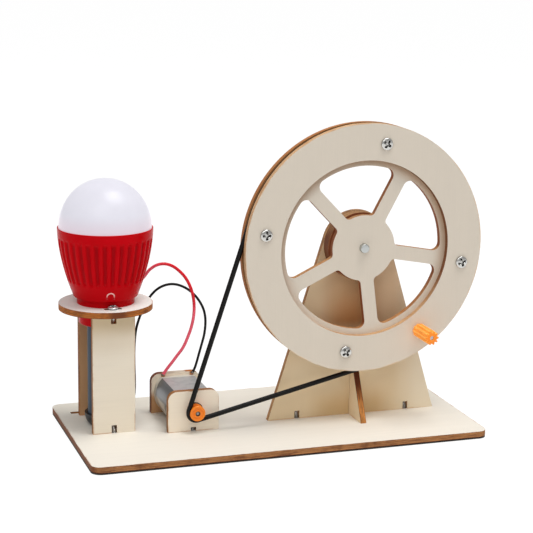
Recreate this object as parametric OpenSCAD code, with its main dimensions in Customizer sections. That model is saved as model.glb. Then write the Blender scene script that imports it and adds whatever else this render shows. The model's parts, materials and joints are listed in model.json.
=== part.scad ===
// Hand crank generator: a plywood crank wheel drives a small motor by a round belt, and the
// motor's two leads feed a bulb lamp that stands in a plywood column.
// Millimetres, +Z up, origin at the centre of the board's underside, +X to the right and +Y to
// the back, as seen by the person who turns the crank.

/* [Base] */
// Width of the base board, left to right
base_w = 200; // [190:1:260]
// Depth of the base board, front to back
base_d = 100; // [92:1:140]
// Thickness of every plywood sheet
ply = 3; // [2.6:0.1:4]
// Radius of the board's corners
base_corner_r = 5; // [1:0.5:12]
// Length of the spare slot behind the column
spare_slot_len = 28; // [10:1:32]
// Distance from the column's back plate to the spare slot
spare_slot_gap = 0.9; // [0.5:0.1:4]

/* [Lamp column] */
// Lamp axis, left of the board's centre
lamp_x = -79; // [-84:0.5:-70]
// Lamp axis, behind the board's centre
lamp_y = 14; // [6:0.5:18]
// Width of the two column plates
col_w = 21; // [16:0.5:28]
// Height of the two column plates
col_h = 59; // [50:1:80]
// Radius of the round plate that holds the bulb
lamp_plate_r = 23; // [21:0.5:30]
// Length of the screw slots in the round plate
plate_slot_len = 8.6; // [6:0.2:12]

/* [Lamp] */
// Outer radius of the red housing at its rim
rim_r = 23.3; // [20:0.1:27]
// Outer radius of the housing at its shoulder
shoulder_r = 15.6; // [15:0.1:18]
// Height of the housing from shoulder to rim
housing_h = 34; // [28:0.2:45]
// How full the housing's curve is
housing_belly = 1.8; // [1.2:0.1:2.6]
// Wall of the housing
housing_wall = 2.6; // [1.8:0.1:3.2]
// Radius of the neck that passes through the round plate
neck_r = 13.2; // [12:0.1:14]
// Length of the neck below the round plate
neck_drop = 7; // [4:0.5:12]
// Radius of the collar on which the housing stands
lamp_collar_r = 14.1; // [13.8:0.1:14.8]
// Height of the collar, from the round plate to the shoulder
collar_h = 3.4; // [2.4:0.1:5]
// Rounding of the shoulder's lower edge
shoulder_round = 0.6; // [0.2:0.1:1]
// Number of flutes around the housing
flutes = 34; // [16:2:44]
// Depth of the flutes
flute_depth = 0.9; // [0.3:0.1:1.2]
// Plain band between the flutes and the rim
rim_band = 4.6; // [3:0.2:12]
// Plain band between the flutes and the shoulder
shoulder_band = 8; // [3:0.2:12]
// Height of the white dome above the rim
dome_h = 23.7; // [16:0.1:30]
// Wall of the dome
dome_wall = 1.2; // [0.8:0.1:1.6]
// Wall of the lip that stands around the dome
lip_wall = 0.6; // [0.5:0.1:1.2]
// Depth of the dome's seat below the rim
dome_seat = 2; // [1.5:0.1:4]
// Thickness of the round light board
led_board_t = 1.6; // [1:0.1:2]
// Number of light chips
led_count = 8; // [4:1:12]
// Side of one light chip
led_side = 2.8; // [2:0.1:3.5]
// Height of one light chip
led_h = 0.8; // [0.5:0.1:1.2]
// Radius of the ring of light chips
led_ring_r = 12; // [8:0.5:16]
// Radius of the round cell below the bulb
cell_r = 9.1; // [8:0.1:9.6]
// Depth of the cell's socket in the neck
cell_socket = 7; // [4:0.5:9]
// Radius of the black foot under the cell
foot_r = 10.7; // [10.2:0.1:12]
// Height of the black foot
foot_h = 6; // [4:0.5:10]
// Floor of the black foot under the cell
foot_floor = 2; // [1:0.5:3]

/* [Motor] */
// Motor axis, left of the board's centre
motor_x = -40.4; // [-44:0.1:-34]
// Height of the motor axis above the board
motor_h = 10.5; // [10:0.1:16]
// Radius of the motor can
can_r = 12; // [11:0.1:12.6]
// Height of the can across its flats
can_flat = 17; // [16:0.1:19]
// Length of the can
can_len = 27; // [24:0.5:36]
// Wall of the can
can_wall = 0.8; // [0.6:0.1:1]
// Length of the end cap
cap_len = 3.2; // [2.4:0.1:5]
// Width of the two motor plates
motor_plate_w = 25.8; // [25.4:0.1:32]
// Height of the two motor plates
motor_plate_h = 20.6; // [20:0.1:28]
// Radius of the motor plates' upper corners
motor_plate_corner_r = 4.5; // [2:0.5:7]
// How far the motor plates stand to the left of the motor axis
motor_plate_shift = 0.6; // [0:0.1:1]
// Radius of the front plate's hole around the motor's bush
motor_hole_r = 4.2; // [3.4:0.1:5]
// Diameter of the motor shaft
shaft_d = 2; // [1.6:0.1:2.2]
// Radius of the armature
armature_r = 7.1; // [6.6:0.1:7.2]
// Number of armature poles
poles = 3; // [3:1:3]
// Distance of each terminal from the motor axis
terminal_x = 7.5; // [6:0.1:7.6]
// Height of the terminals above the end cap
terminal_h = 1.8; // [1.6:0.1:3]

/* [Pulley and belt] */
// Plane in which wheel, belt and pulley run, in front of the board's centre
belt_y = -14; // [-20:0.5:-12]
// Radius of the pulley's flanges
pulley_r = 3.85; // [3.4:0.05:5]
// Length of the pulley
pulley_len = 5; // [4.6:0.1:8]
// Radius of the pulley's groove
pulley_groove_r = 2.55; // [2:0.05:2.8]
// Gap between the pulley and the motor's front plate
pulley_gap = 0.8; // [0.4:0.1:2]
// Length of shaft in front of the pulley, less than 0 where it ends inside
shaft_end = -0.4; // [-1:0.1:3]
// Diameter of the round belt
belt_d = 2.4; // [1.4:0.1:2.4]

/* [Crank wheel] */
// Outer radius of the two rings
wheel_r = 62.1; // [56:0.1:66]
// Depth of the belt groove between the rings
groove_depth = 3; // [2.4:0.1:4]
// Inner radius of the two rings
ring_inner_r = 44; // [42:0.5:47]
// Outer radius of the spoked disc's windows
window_r = 41; // [36:0.5:43]
// Radius of the hub
hub_r = 16.4; // [16:0.1:20]
// Number of spokes
spokes = 5; // [4:1:6]
// Width of a spoke
spoke_w = 7; // [5:0.5:10]
// Fillet at the outer corners of the windows
window_fillet = 3.6; // [2:0.2:5]
// Fillet at the inner corners of the windows
hub_fillet = 2.2; // [0.6:0.2:2.4]
// Angle at which the wheel stands
wheel_turn = -10.2; // [-180:0.1:180]
// Radius of the circle of wheel screws and crank pin
screw_circle_r = 52.6; // [49:0.2:55]
// Number of wheel screws
wheel_screw_count = 4; // [3:1:6]
// Diameter of the wheel's axle
axle_d = 4.6; // [3:0.1:5]
// Length of axle in front of the hub
axle_stub = 2.4; // [0.8:0.1:2.8]
// Thickness of the washer behind the hub
washer_t = 0.7; // [0.5:0.1:1]
// Radius of the washer behind the hub
washer_r = 5; // [4:0.5:8]
// Radius of the collar that keeps the axle in the stand
collar_r = 6; // [4:0.5:9]

/* [Crank handle] */
// Angle of the crank pin from the wheel's first screw
crank_angle = -45; // [-70:1:-20]
// Length of the toothed grip
grip_len = 16; // [8:0.5:24]
// Number of teeth on the grip
grip_teeth = 10; // [8:1:14]
// Outer radius of the grip over its teeth
grip_r = 3.6; // [3:0.1:5]
// Depth of the grip's teeth
tooth_depth = 0.9; // [0.6:0.1:1.4]
// Length of the grip's plain round end, next to the wheel
grip_end = 1.2; // [0.6:0.1:3]
// Diameter of the crank pin
crank_pin_d = 2; // [1.6:0.1:2.2]
// How far the pin's end lies inside the grip
pin_recess = 0.6; // [0.5:0.1:3]

/* [Stand] */
// Middle of the stand, right of the board's centre
stand_x = 44.3; // [30:0.1:50]
// Height of the axle above the board
axle_h = 88.5; // [84:0.5:110]
// Width of the stand at its foot
stand_w = 90; // [70:1:98]
// Radius of the stand's round top and of its spacer discs
stand_top_r = 17.2; // [12:0.1:18]
// Distance between the stand's two screws
stand_screw_span = 59.2; // [40:0.2:70]
// How far the gusset reaches to each side of the stand's middle
gusset_reach = 18.3; // [16:0.1:24]
// Distance from the wheel to the gusset's slanted edge
gusset_room = 0.6; // [0.4:0.1:2]
// Height of the half lap between stand and gusset
lap_h = 10; // [6:0.5:16]

/* [Screws] */
// Diameter of the screw shanks
screw_d = 2.4; // [2:0.1:2.6]
// Diameter of the pan heads on the round plate
pan_head_d = 5; // [4.2:0.1:5.2]
// Diameter of the pan heads on the wheel
wheel_head_d = 6; // [4.6:0.1:7]
// Height of the pan heads
pan_head_h = 1.6; // [1.2:0.1:1.8]
// Diameter of the sunk heads under the board
sunk_head_d = 4.8; // [4:0.1:5.6]
// Height of the sunk heads
sunk_head_h = 1.4; // [1:0.1:1.8]
// Height of the screw slots in the edges of column and stand
slot_h = 4; // [3:0.2:8]
// Height of the screw slots in the edges of the motor plates
motor_slot_h = 2; // [1.8:0.1:4]
// Width of the cross recess in the heads
cross_w = 0.8; // [0.5:0.1:1]
// Depth of the cross recess in the heads
cross_depth = 0.8; // [0.4:0.1:1]

/* [Fits] */
// Radial gap of a pressed fit
press_gap = 0.02; // [0.01:0.01:0.04]
// Radial gap of a turning fit
run_gap = 0.05; // [0.02:0.01:0.1]
// Gap around a piece that is pushed in by hand
loose_gap = 0.1; // [0.05:0.05:0.2]
// Gap between pieces that move past each other
moving_gap = 0.3; // [0.2:0.1:0.6]

/* [Hidden] */
$fn = 96;

board_top = ply;
screw_r = screw_d / 2;
shaft_r = shaft_d / 2;
axle_r = axle_d / 2;
crank_pin_r = crank_pin_d / 2;

// Column and lamp
neck_room = 1.1;
col_gap = 2 * neck_r + 2 * neck_room;
col_front_y = lamp_y - col_gap / 2 - ply;
col_back_y = lamp_y + col_gap / 2;
col_top = board_top + col_h;
plate_top = col_top + ply;
neck_bottom = col_top - neck_drop;
shoulder_z = plate_top + collar_h;
rim_z = shoulder_z + housing_h;
flute_top = rim_z - rim_band;
flute_bottom = shoulder_z + shoulder_band;
dome_r = rim_r - lip_wall - loose_gap;
dome_z = rim_z - dome_seat;
led_board_z = dome_z - led_board_t - led_h;
led_board_r = dome_r - dome_wall - loose_gap;
socket_top = neck_bottom + cell_socket;
socket_floor = 1.6;

// Motor, measured along its axis from the back face of its front plate
motor_z = board_top + motor_h;
motor_front_y = belt_y + pulley_len / 2 + pulley_gap;
can_y = motor_front_y + ply;
cap_y = can_y + can_len;
motor_back_y = cap_y + cap_len;
bush_r = 3;
bush_boss = 1.6;
bush_depth = 2.4;
rear_bush_r = 2.5;
cap_boss_r = 3.4;
cap_boss = 1.6;
cap_plug = 1.4;
cap_plug_inner_r = 6.6;
core_y = can_y + can_len * 0.15;
core_len = can_len * 0.59;
winding_over = can_len * 0.037;
commutator_r = shaft_r + 1;
commutator_y = core_y + core_len + winding_over + 0.6;
commutator_len = 4;
shaft_y0 = belt_y - pulley_len / 2 - shaft_end;
shaft_y1 = motor_back_y + cap_boss;
magnet_gap = armature_r * 0.07;
magnet_arc = 38;

// Wheel layers from front to back, with the groove in the belt's plane
disc_y = belt_y - ply / 2;
front_ring_y = disc_y - ply;
back_ring_y = disc_y + ply;
disc_r = wheel_r - groove_depth;
axle_z = board_top + axle_h;
washer_y = disc_y + ply;
spacer_y = washer_y + washer_t + moving_gap;
stand_y = spacer_y + 2 * ply;
collar_y = stand_y + ply + moving_gap;
axle_y0 = disc_y - axle_stub;
axle_y1 = collar_y + ply;
wheel_back_y = back_ring_y + ply;
grip_y1 = front_ring_y - moving_gap;
grip_y0 = grip_y1 - grip_len;

// Belt, as two arcs and the two straight runs that are tangent to them
belt_r = min(belt_d, ply - 2 * moving_gap) / 2;
belt_wheel_r = disc_r + moving_gap + belt_r;
belt_pulley_r = pulley_groove_r + moving_gap + belt_r;
belt_span = norm([stand_x - motor_x, axle_z - motor_z]);
belt_line = atan2(axle_z - motor_z, stand_x - motor_x);
belt_tilt = asin((belt_wheel_r - belt_pulley_r) / belt_span);
belt_run = belt_span * cos(belt_tilt);
upper_normal = belt_line + 90 + belt_tilt;
lower_normal = belt_line - 90 - belt_tilt;

// Screw places on the board, each with the height of the slot that it holds
slot_w = screw_d + 2 * loose_gap;
board_screws = [
    [lamp_x, col_front_y + ply / 2, slot_h],
    [lamp_x, col_back_y + ply / 2, slot_h],
    [motor_x - motor_plate_shift, motor_front_y + ply / 2, motor_slot_h],
    [motor_x - motor_plate_shift, motor_back_y + ply / 2, motor_slot_h],
    [stand_x - stand_screw_span / 2, stand_y + ply / 2, slot_h],
    [stand_x + stand_screw_span / 2, stand_y + ply / 2, slot_h]
];

// Lead wires: diameters and routes, from the motor's terminals to the lamp
red_wire_d = 1.6;
black_wire_d = 1.3;
wire_sides = 8;
red_route = [
    [-48, 21.4, 23.2], [-46, 21.5, 25.9], [-43.2, 21.7, 29.2], [-40.5, 21.9, 32.5], [-37.3, 22, 36.6],
    [-34.9, 22.3, 41.5], [-33, 22.5, 46.5], [-31.7, 22.8, 52], [-31.3, 23.2, 57.5],
    [-31.8, 23.6, 62.5], [-33.2, 24, 67.5], [-35.5, 24.5, 72], [-38.5, 25, 75.5],
    [-42, 25.5, 78.2], [-46, 26, 79.5], [-50, 27, 78.8], [-53.3, 28, 76.4], [-55.8, 28.8, 73],
    [-58.3, 28.9, 70.4], [-61.5, 28, 69.1], [-64.8, 26.2, 68.8], [-67.8, 24.1, 68.8]
];
black_route = [
    [-32.6, 21.4, 23.2], [-31.3, 21.5, 25.4], [-30.2, 21.7, 28.5], [-29, 21.9, 32.6], [-27.5, 22.2, 37.5],
    [-26.2, 22.5, 42], [-25.5, 22.8, 46.5], [-25.4, 23.2, 51], [-26.2, 23.6, 55.2],
    [-27.9, 24.2, 59], [-30.3, 25, 62.4], [-33.5, 26, 65.4], [-37.3, 27, 67.5], [-41.2, 28.2, 68.3],
    [-45, 29.5, 67.6], [-48.3, 31, 65.6], [-51, 32.3, 62.6], [-53.3, 33, 59], [-55.5, 32.7, 55],
    [-57.7, 31.6, 50.8], [-59.7, 29.8, 46], [-61, 27.8, 40.5], [-61.8, 25.8, 34.5],
    [-62.2, 24, 28], [-62.4, 22.4, 21.5], [-62.9, 21, 15.5], [-64.2, 19.9, 10.5],
    [-66.4, 18.9, 7.4], [-69.4, 17.7, 6.2]
];

// Points along an arc about a centre, counter-clockwise from angle a0 to a1 where a1 is greater
function arc(centre, r, a0, a1, steps) =
    [for (i = [0 : steps]) let (a = a0 + (a1 - a0) * i / steps) centre + r * [cos(a), sin(a)]];

// Radius of the red housing at a height between its shoulder and its rim
function housing_r(z) = rim_r - (rim_r - shoulder_r) * pow((rim_z - z) / housing_h, housing_belly);

// A flat outline in X and Z, standing upright from y to y + t
module upright(y, t) {
    translate([0, y + t, 0]) rotate([90, 0, 0]) linear_extrude(t) children();
}

// A round bar along Y
module bar_y(r, y0, y1) {
    translate([0, y0, 0]) rotate([-90, 0, 0]) cylinder(r = r, h = y1 - y0);
}

// Places its children on the wheel at a radius and at an angle from the wheel's first screw
module on_wheel(r, angle) {
    turn = wheel_turn + angle;
    translate([stand_x + r * cos(turn), 0, axle_z + r * sin(turn)]) children();
}

module at_wheel() {
    translate([stand_x, 0, axle_z]) children();
}

module at_motor() {
    translate([motor_x, 0, motor_z]) children();
}

// Screws

tip_len = 1.6;
tip_r = 0.3;

// A cross recess, cut both ways from z = 0
module cross_recess(across) {
    for (turn = [0, 90]) rotate(turn)
        translate([-across / 2, -cross_w / 2, -cross_depth]) cube([across, cross_w, 2 * cross_depth]);
}

// A pan head screw that hangs from z = 0, with a domed head above it
module pan_screw(len, head_d) {
    dome = (pow(head_d / 2, 2) + pow(pan_head_h, 2)) / (2 * pan_head_h);
    rotate_extrude() polygon([[0, 0], [screw_r, 0], [screw_r, tip_len - len], [tip_r, -len], [0, -len]]);
    difference() {
        intersection() {
            translate([0, 0, pan_head_h - dome]) sphere(r = dome);
            cylinder(d = head_d, h = pan_head_h);
        }
        translate([0, 0, pan_head_h]) cross_recess(head_d * 0.55);
    }
}

// A sunk screw that points up, with its head's flat face at z = 0
module sunk_screw(len) {
    head_r = sunk_head_d / 2;
    difference() {
        rotate_extrude() polygon([
            [0, 0], [head_r, 0], [screw_r, sunk_head_h], [screw_r, len - tip_len], [tip_r, len], [0, len]
        ]);
        cross_recess(sunk_head_d * 0.5);
    }
}

// Base

module rounded_board(w, d, r) {
    square([w - 2 * r, d], center = true);
    square([w, d - 2 * r], center = true);
    for (sx = [-1, 1], sy = [-1, 1])
        translate([sx * (w / 2 - r), sy * (d / 2 - r)]) circle(r = r);
}

sunk_recess = 0.1;

module base_board() {
    hole_d = screw_d + 2 * loose_gap;
    color("BurlyWood") difference() {
        linear_extrude(ply) rounded_board(base_w, base_d, base_corner_r);
        for (p = board_screws) translate([p[0], p[1], 0]) {
            translate([0, 0, -1]) cylinder(d = hole_d, h = ply + 2);
            cylinder(d1 = sunk_head_d + 2 * loose_gap, d2 = hole_d, h = sunk_head_h + sunk_recess);
        }
        translate([lamp_x - spare_slot_len / 2, col_back_y + ply + spare_slot_gap, -1])
            cube([spare_slot_len, ply, ply + 2]);
    }
}

module board_screws() {
    color("Silver") for (p = board_screws)
        translate([p[0], p[1], sunk_recess]) sunk_screw(board_top + p[2] - 2 * sunk_recess);
}

// Column

module column_plate(y) {
    color("Wheat") translate([lamp_x, 0, board_top]) upright(y, ply) difference() {
        translate([-col_w / 2, 0]) square([col_w, col_h]);
        translate([-slot_w / 2, -1]) square([slot_w, slot_h + 1]);
        translate([-slot_w / 2, col_h - slot_h]) square([slot_w, slot_h + 1]);
    }
}

module column_front() {
    column_plate(col_front_y);
}

module column_back() {
    column_plate(col_back_y);
}

module lamp_plate() {
    color("Wheat") translate([lamp_x, 0, col_top]) linear_extrude(ply) difference() {
        translate([0, lamp_y]) circle(r = lamp_plate_r);
        translate([0, lamp_y]) circle(r = neck_r + loose_gap);
        for (y = [col_front_y, col_back_y])
            translate([-plate_slot_len / 2, y + ply / 2 - slot_w / 2]) square([plate_slot_len, slot_w]);
    }
}

module plate_screws() {
    color("Silver") for (y = [col_front_y, col_back_y])
        translate([lamp_x, y + ply / 2, plate_top]) pan_screw(ply + slot_h - loose_gap, pan_head_d);
}

// Lamp

curve_steps = 14;

function housing_curve(z0, z1, inset) =
    [for (i = [0 : curve_steps]) let (z = z0 + (z1 - z0) * i / curve_steps) [housing_r(z) - inset, z]];

// Neck through the round plate, collar on it, and the belly from the rounded shoulder to the rim
module housing_outside() {
    round = shoulder_round;
    rotate_extrude() polygon(concat(
        [[0, neck_bottom], [neck_r, neck_bottom], [neck_r, plate_top], [lamp_collar_r, plate_top]],
        [[lamp_collar_r, shoulder_z]],
        arc([housing_r(shoulder_z + round) - round, shoulder_z + round], round, -90, 0, 4),
        housing_curve(shoulder_z + 2 * round, rim_z, 0),
        [[0, rim_z]]
    ));
}

// Room in the collar for the heads of the round plate's screws
module head_rooms() {
    for (y = [col_front_y, col_back_y])
        translate([0, y + ply / 2 - lamp_y, plate_top - 1])
            cylinder(d = pan_head_d + 2 * run_gap, h = pan_head_h + 1 + loose_gap);
}

// Room inside the housing: neck, belly, seat of the light board and seat of the dome
module housing_inside() {
    belly_z = shoulder_z + housing_wall;
    rotate_extrude() polygon(concat(
        [[0, socket_top + socket_floor], [neck_r - housing_wall, socket_top + socket_floor]],
        [[neck_r - housing_wall, belly_z]],
        housing_curve(belly_z, led_board_z, housing_wall),
        [[led_board_r + loose_gap, led_board_z], [led_board_r + loose_gap, dome_z]],
        [[dome_r + loose_gap, dome_z], [dome_r + loose_gap, rim_z + 1], [0, rim_z + 1]]
    ));
}

module housing_flutes() {
    flute_angle = 360 / flutes / 2;
    for (i = [0 : flutes - 1])
        rotate(i * 360 / flutes) rotate_extrude(angle = flute_angle) polygon(concat(
            housing_curve(flute_bottom, flute_top, flute_depth),
            [[rim_r + 1, flute_top], [rim_r + 1, flute_bottom]]
        ));
}

module lamp_housing() {
    color("Crimson") translate([lamp_x, lamp_y, 0]) difference() {
        housing_outside();
        housing_inside();
        housing_flutes();
        head_rooms();
        translate([0, 0, neck_bottom - 1]) cylinder(r = cell_r + loose_gap, h = cell_socket + 1);
    }
}

dome_steps = 18;

function dome_curve(r, h) =
    [for (i = [0 : dome_steps]) let (a = 90 * i / dome_steps) [r * cos(a), rim_z + h * sin(a)]];

module lamp_dome() {
    inner_r = dome_r - dome_wall;
    color("GhostWhite") translate([lamp_x, lamp_y, 0]) difference() {
        rotate_extrude() polygon(concat([[0, dome_z], [dome_r, dome_z]], dome_curve(dome_r, dome_h)));
        rotate_extrude() polygon(concat(
            [[0, dome_z - 1], [inner_r, dome_z - 1]], dome_curve(inner_r, dome_h - dome_wall)));
    }
}

module led_board() {
    color("White") translate([lamp_x, lamp_y, led_board_z]) cylinder(r = led_board_r, h = led_board_t);
}

module led_chips() {
    color("LightYellow") translate([lamp_x, lamp_y, led_board_z + led_board_t])
        for (i = [0 : led_count - 1])
            rotate(i * 360 / led_count) translate([led_ring_r - led_side / 2, -led_side / 2, 0])
                cube([led_side, led_side, led_h]);
}

module lamp_cell() {
    bottom = board_top + foot_floor;
    color("SlateGray") translate([lamp_x, lamp_y, bottom]) cylinder(r = cell_r, h = socket_top - bottom);
}

module cell_foot() {
    edge = 1.5;
    color("DimGray") translate([lamp_x, lamp_y, board_top]) difference() {
        rotate_extrude() polygon(concat(
            [[0, 0]], arc([foot_r - edge, edge], edge, -90, 0, 6), [[foot_r, foot_h], [0, foot_h]]));
        translate([0, 0, foot_floor]) cylinder(r = cell_r + loose_gap, h = foot_h);
    }
}

// Motor

// The can's outline across its axis: a circle between two flats
module can_outline(r, flat) {
    intersection() {
        circle(r = r);
        square([2 * r, flat], center = true);
    }
}

module motor_plate(y, hole_r) {
    r = motor_plate_corner_r;
    w = motor_plate_w;
    place = [motor_x - motor_plate_shift, 0, board_top];
    color("Wheat") translate(place) upright(y, ply) difference() {
        union() {
            translate([-w / 2, 0]) square([w, motor_plate_h - r]);
            translate([-w / 2 + r, 0]) square([w - 2 * r, motor_plate_h]);
            for (side = [-1, 1]) translate([side * (w / 2 - r), motor_plate_h - r]) circle(r = r);
        }
        translate([motor_plate_shift, motor_h]) circle(r = hole_r);
        translate([-slot_w / 2, -1]) square([slot_w, motor_slot_h + 1]);
    }
}

module motor_front_plate() {
    motor_plate(motor_front_y, motor_hole_r);
}

module motor_back_plate() {
    motor_plate(motor_back_y, cap_boss_r + loose_gap);
}

vent_len = 3.4;
vent_w = 1.6;
vent_y = 7.4;
vent_drop = 1.6;

module motor_can() {
    inner_r = can_r - can_wall;
    color("DarkGray") at_motor() difference() {
        upright(can_y, can_len) can_outline(can_r, can_flat);
        upright(can_y + can_wall, can_len) can_outline(inner_r, can_flat - 2 * can_wall);
        bar_y(bush_r + press_gap, can_y - 1, can_y + can_wall + 1);
        translate([-can_r - 1, can_y + vent_y, -vent_drop - vent_len / 2])
            cube([2 * can_r + 2, vent_w, vent_len]);
    }
}

module motor_end_cap() {
    plug_r = can_r - can_wall - loose_gap;
    plug_flat = can_flat - 2 * can_wall - 2 * loose_gap;
    color("Ivory") at_motor() difference() {
        union() {
            upright(cap_y, cap_len) can_outline(can_r, can_flat);
            upright(cap_y - cap_plug, cap_plug) can_outline(plug_r, plug_flat);
            bar_y(cap_boss_r, motor_back_y, motor_back_y + cap_boss);
        }
        bar_y(cap_plug_inner_r, cap_y - cap_plug - 1, cap_y);
        bar_y(rear_bush_r + press_gap, cap_y - 1, motor_back_y + cap_boss + 1);
    }
}

// Two curved magnets on the can's round sides
module motor_magnets() {
    outer = can_r - can_wall - loose_gap;
    inner = armature_r + magnet_gap;
    color("DimGray") at_motor() for (side = [0, 180])
        translate([0, core_y + core_len, 0]) rotate([90, 0, 0]) rotate(side)
            linear_extrude(core_len) intersection() {
                difference() {
                    circle(r = outer);
                    circle(r = inner);
                }
                polygon(concat([[0, 0]], arc([0, 0], 2 * can_r, -magnet_arc, magnet_arc, 4)));
            }
}

brush_w = 2;
brush_leg = 1.2;

// Two carbon brushes, each on a leg that stands on the end cap
module motor_brushes() {
    reach = cap_plug_inner_r - 0.2;
    brush_y = commutator_y + 1;
    color("Black") at_motor() for (side = [0, 1]) mirror([side, 0, 0]) {
        translate([commutator_r + 0.15, brush_y, -brush_w / 2])
            cube([reach - commutator_r - 0.15, brush_w, brush_w]);
        translate([reach - brush_leg, brush_y, -brush_w / 2]) cube([brush_leg, cap_y - brush_y, brush_w]);
    }
}

terminal_w = 1.8;
terminal_t = 0.6;

module motor_terminals() {
    color("Chocolate") at_motor() for (side = [-1, 1])
        translate([side * terminal_x - terminal_w / 2, motor_back_y - 1, can_flat / 2])
            cube([terminal_w, terminal_t, terminal_h]);
}

module front_bush() {
    color("Goldenrod") at_motor() difference() {
        bar_y(bush_r, can_y - bush_boss, can_y + bush_depth);
        bar_y(shaft_r + run_gap, can_y - bush_boss - 1, can_y + bush_depth + 1);
    }
}

module rear_bush() {
    color("Goldenrod") at_motor() difference() {
        bar_y(rear_bush_r, cap_y, motor_back_y + cap_boss);
        bar_y(shaft_r + run_gap, cap_y - 1, motor_back_y + cap_boss + 1);
    }
}

module motor_shaft() {
    color("Silver") at_motor() bar_y(shaft_r, shaft_y0, shaft_y1);
}

pole_w = armature_r * 0.37;
pole_hub_r = shaft_r + 1.2;
shoe_t = armature_r * 0.21;
shoe_arc = 48;

module armature_core() {
    shoe_r = armature_r - shoe_t;
    color("Gray") at_motor() upright(core_y, core_len) difference() {
        union() {
            circle(r = pole_hub_r);
            for (i = [0 : poles - 1]) rotate(i * 360 / poles) {
                translate([0, -pole_w / 2]) square([shoe_r + shoe_t / 2, pole_w]);
                intersection() {
                    difference() {
                        circle(r = armature_r);
                        circle(r = shoe_r);
                    }
                    polygon(concat([[0, 0]], arc([0, 0], 2 * armature_r, -shoe_arc, shoe_arc, 4)));
                }
            }
        }
        circle(r = shaft_r + press_gap);
    }
}

// One coil around each pole, as a rounded block with the pole through it
module armature_windings() {
    coil_in = pole_hub_r + 0.4;
    coil_side = pole_w / 2 + 1.1;
    coil_out = sqrt(pow(armature_r - shoe_t - loose_gap, 2) - pow(coil_side, 2));
    color("Peru") at_motor() for (i = [0 : poles - 1]) rotate([0, -i * 360 / poles, 0]) difference() {
        translate([coil_in, core_y - winding_over, -coil_side])
            cube([coil_out - coil_in, core_len + 2 * winding_over, 2 * coil_side]);
        translate([coil_in - 1, core_y - loose_gap, -pole_w / 2 - loose_gap])
            cube([coil_out, core_len + 2 * loose_gap, pole_w + 2 * loose_gap]);
    }
}

module commutator() {
    slit = 0.4;
    color("Peru") at_motor() difference() {
        bar_y(commutator_r, commutator_y, commutator_y + commutator_len);
        bar_y(shaft_r + press_gap, commutator_y - 1, commutator_y + commutator_len + 1);
        for (i = [0 : poles - 1]) rotate([0, -i * 360 / poles, 0])
            translate([commutator_r - slit, commutator_y - 1, -slit / 2])
                cube([2 * slit, commutator_len + 2, slit]);
    }
}

// Pulley and belt

module pulley() {
    groove_w = 2 * (belt_r + moving_gap);
    flange = (pulley_len - groove_w) / 2;
    edge = 0.3;
    color("DarkOrange") translate([motor_x, belt_y - pulley_len / 2, motor_z]) rotate([-90, 0, 0])
        rotate_extrude() polygon([
            [shaft_r + press_gap, 0], [pulley_r - edge, 0], [pulley_r, edge], [pulley_r, flange - edge],
            [pulley_groove_r, flange], [pulley_groove_r, flange + groove_w],
            [pulley_r, flange + groove_w + edge], [pulley_r, pulley_len - edge],
            [pulley_r - edge, pulley_len], [shaft_r + press_gap, pulley_len]
        ]);
}

// One round arc of the belt about a centre in X and Z
module belt_arc(centre, r, from, to) {
    translate(centre) rotate(from) rotate_extrude(angle = to - from) translate([r, 0]) circle(r = belt_r);
}

// One straight run of the belt, tangent to both arcs where their normals share an angle
module belt_straight(normal) {
    run_turn = normal > 0 ? normal - 90 : normal + 90;
    translate([motor_x, motor_z] + belt_pulley_r * [cos(normal), sin(normal)])
        rotate(run_turn) rotate([0, 90, 0]) cylinder(r = belt_r, h = belt_run);
}

// A hair-thin band over the seam of an arc and a run, which makes the belt one piece
module belt_seam(centre, r, normal) {
    translate(centre + r * [cos(normal), sin(normal)]) rotate(normal + 90) rotate([0, 90, 0])
        cylinder(r = belt_r + 0.03, h = 0.6, center = true);
}

module drive_belt() {
    wheel_at = [stand_x, axle_z];
    motor_at = [motor_x, motor_z];
    color("Black") translate([0, belt_y, 0]) rotate([90, 0, 0]) {
        belt_arc(wheel_at, belt_wheel_r, lower_normal, upper_normal);
        belt_arc(motor_at, belt_pulley_r, upper_normal, lower_normal + 360);
        for (normal = [upper_normal, lower_normal]) {
            belt_straight(normal);
            belt_seam(wheel_at, belt_wheel_r, normal);
            belt_seam(motor_at, belt_pulley_r, normal);
        }
    }
}

// Stand

module stand_outline() {
    corner = [stand_w / 2, 0];
    lean = acos(stand_top_r / norm([corner[0], axle_h])) - atan2(axle_h, corner[0]);
    touch = [0, axle_h] + stand_top_r * [cos(lean), sin(lean)];
    polygon([[-corner[0], 0], corner, touch, [-touch[0], touch[1]]]);
    translate([0, axle_h]) circle(r = stand_top_r);
}

module stand_plate() {
    color("Tan") translate([stand_x, 0, board_top]) upright(stand_y, ply) difference() {
        stand_outline();
        translate([0, axle_h]) circle(r = axle_r + run_gap);
        for (side = [-1, 1])
            translate([side * stand_screw_span / 2 - slot_w / 2, -1]) square([slot_w, slot_h + 1]);
        translate([-ply / 2 - loose_gap, -1]) square([ply + 2 * loose_gap, lap_h + 1]);
    }
}

// Cross piece with two slanted wings that pass just behind the wheel's lowest point
module stand_gusset() {
    middle = stand_y + ply / 2;
    wheel_low = axle_h - wheel_r;
    foot = gusset_reach;
    at_wheel_low = middle - (wheel_back_y + gusset_room);
    slope = (foot - at_wheel_low) / wheel_low;
    top = (foot - ply / 2 - loose_gap) / slope;
    notch = ply / 2 + loose_gap;
    color("Tan") translate([stand_x - ply / 2, middle, board_top]) rotate([90, 0, 90]) linear_extrude(ply)
        difference() {
            polygon([[-foot, 0], [foot, 0], [notch, top], [-notch, top]]);
            translate([-notch, lap_h]) square([2 * notch, top]);
        }
}

module spacer_disc(y) {
    color("Peru") at_wheel() upright(y, ply) difference() {
        circle(r = stand_top_r);
        circle(r = axle_r + run_gap);
    }
}

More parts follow.
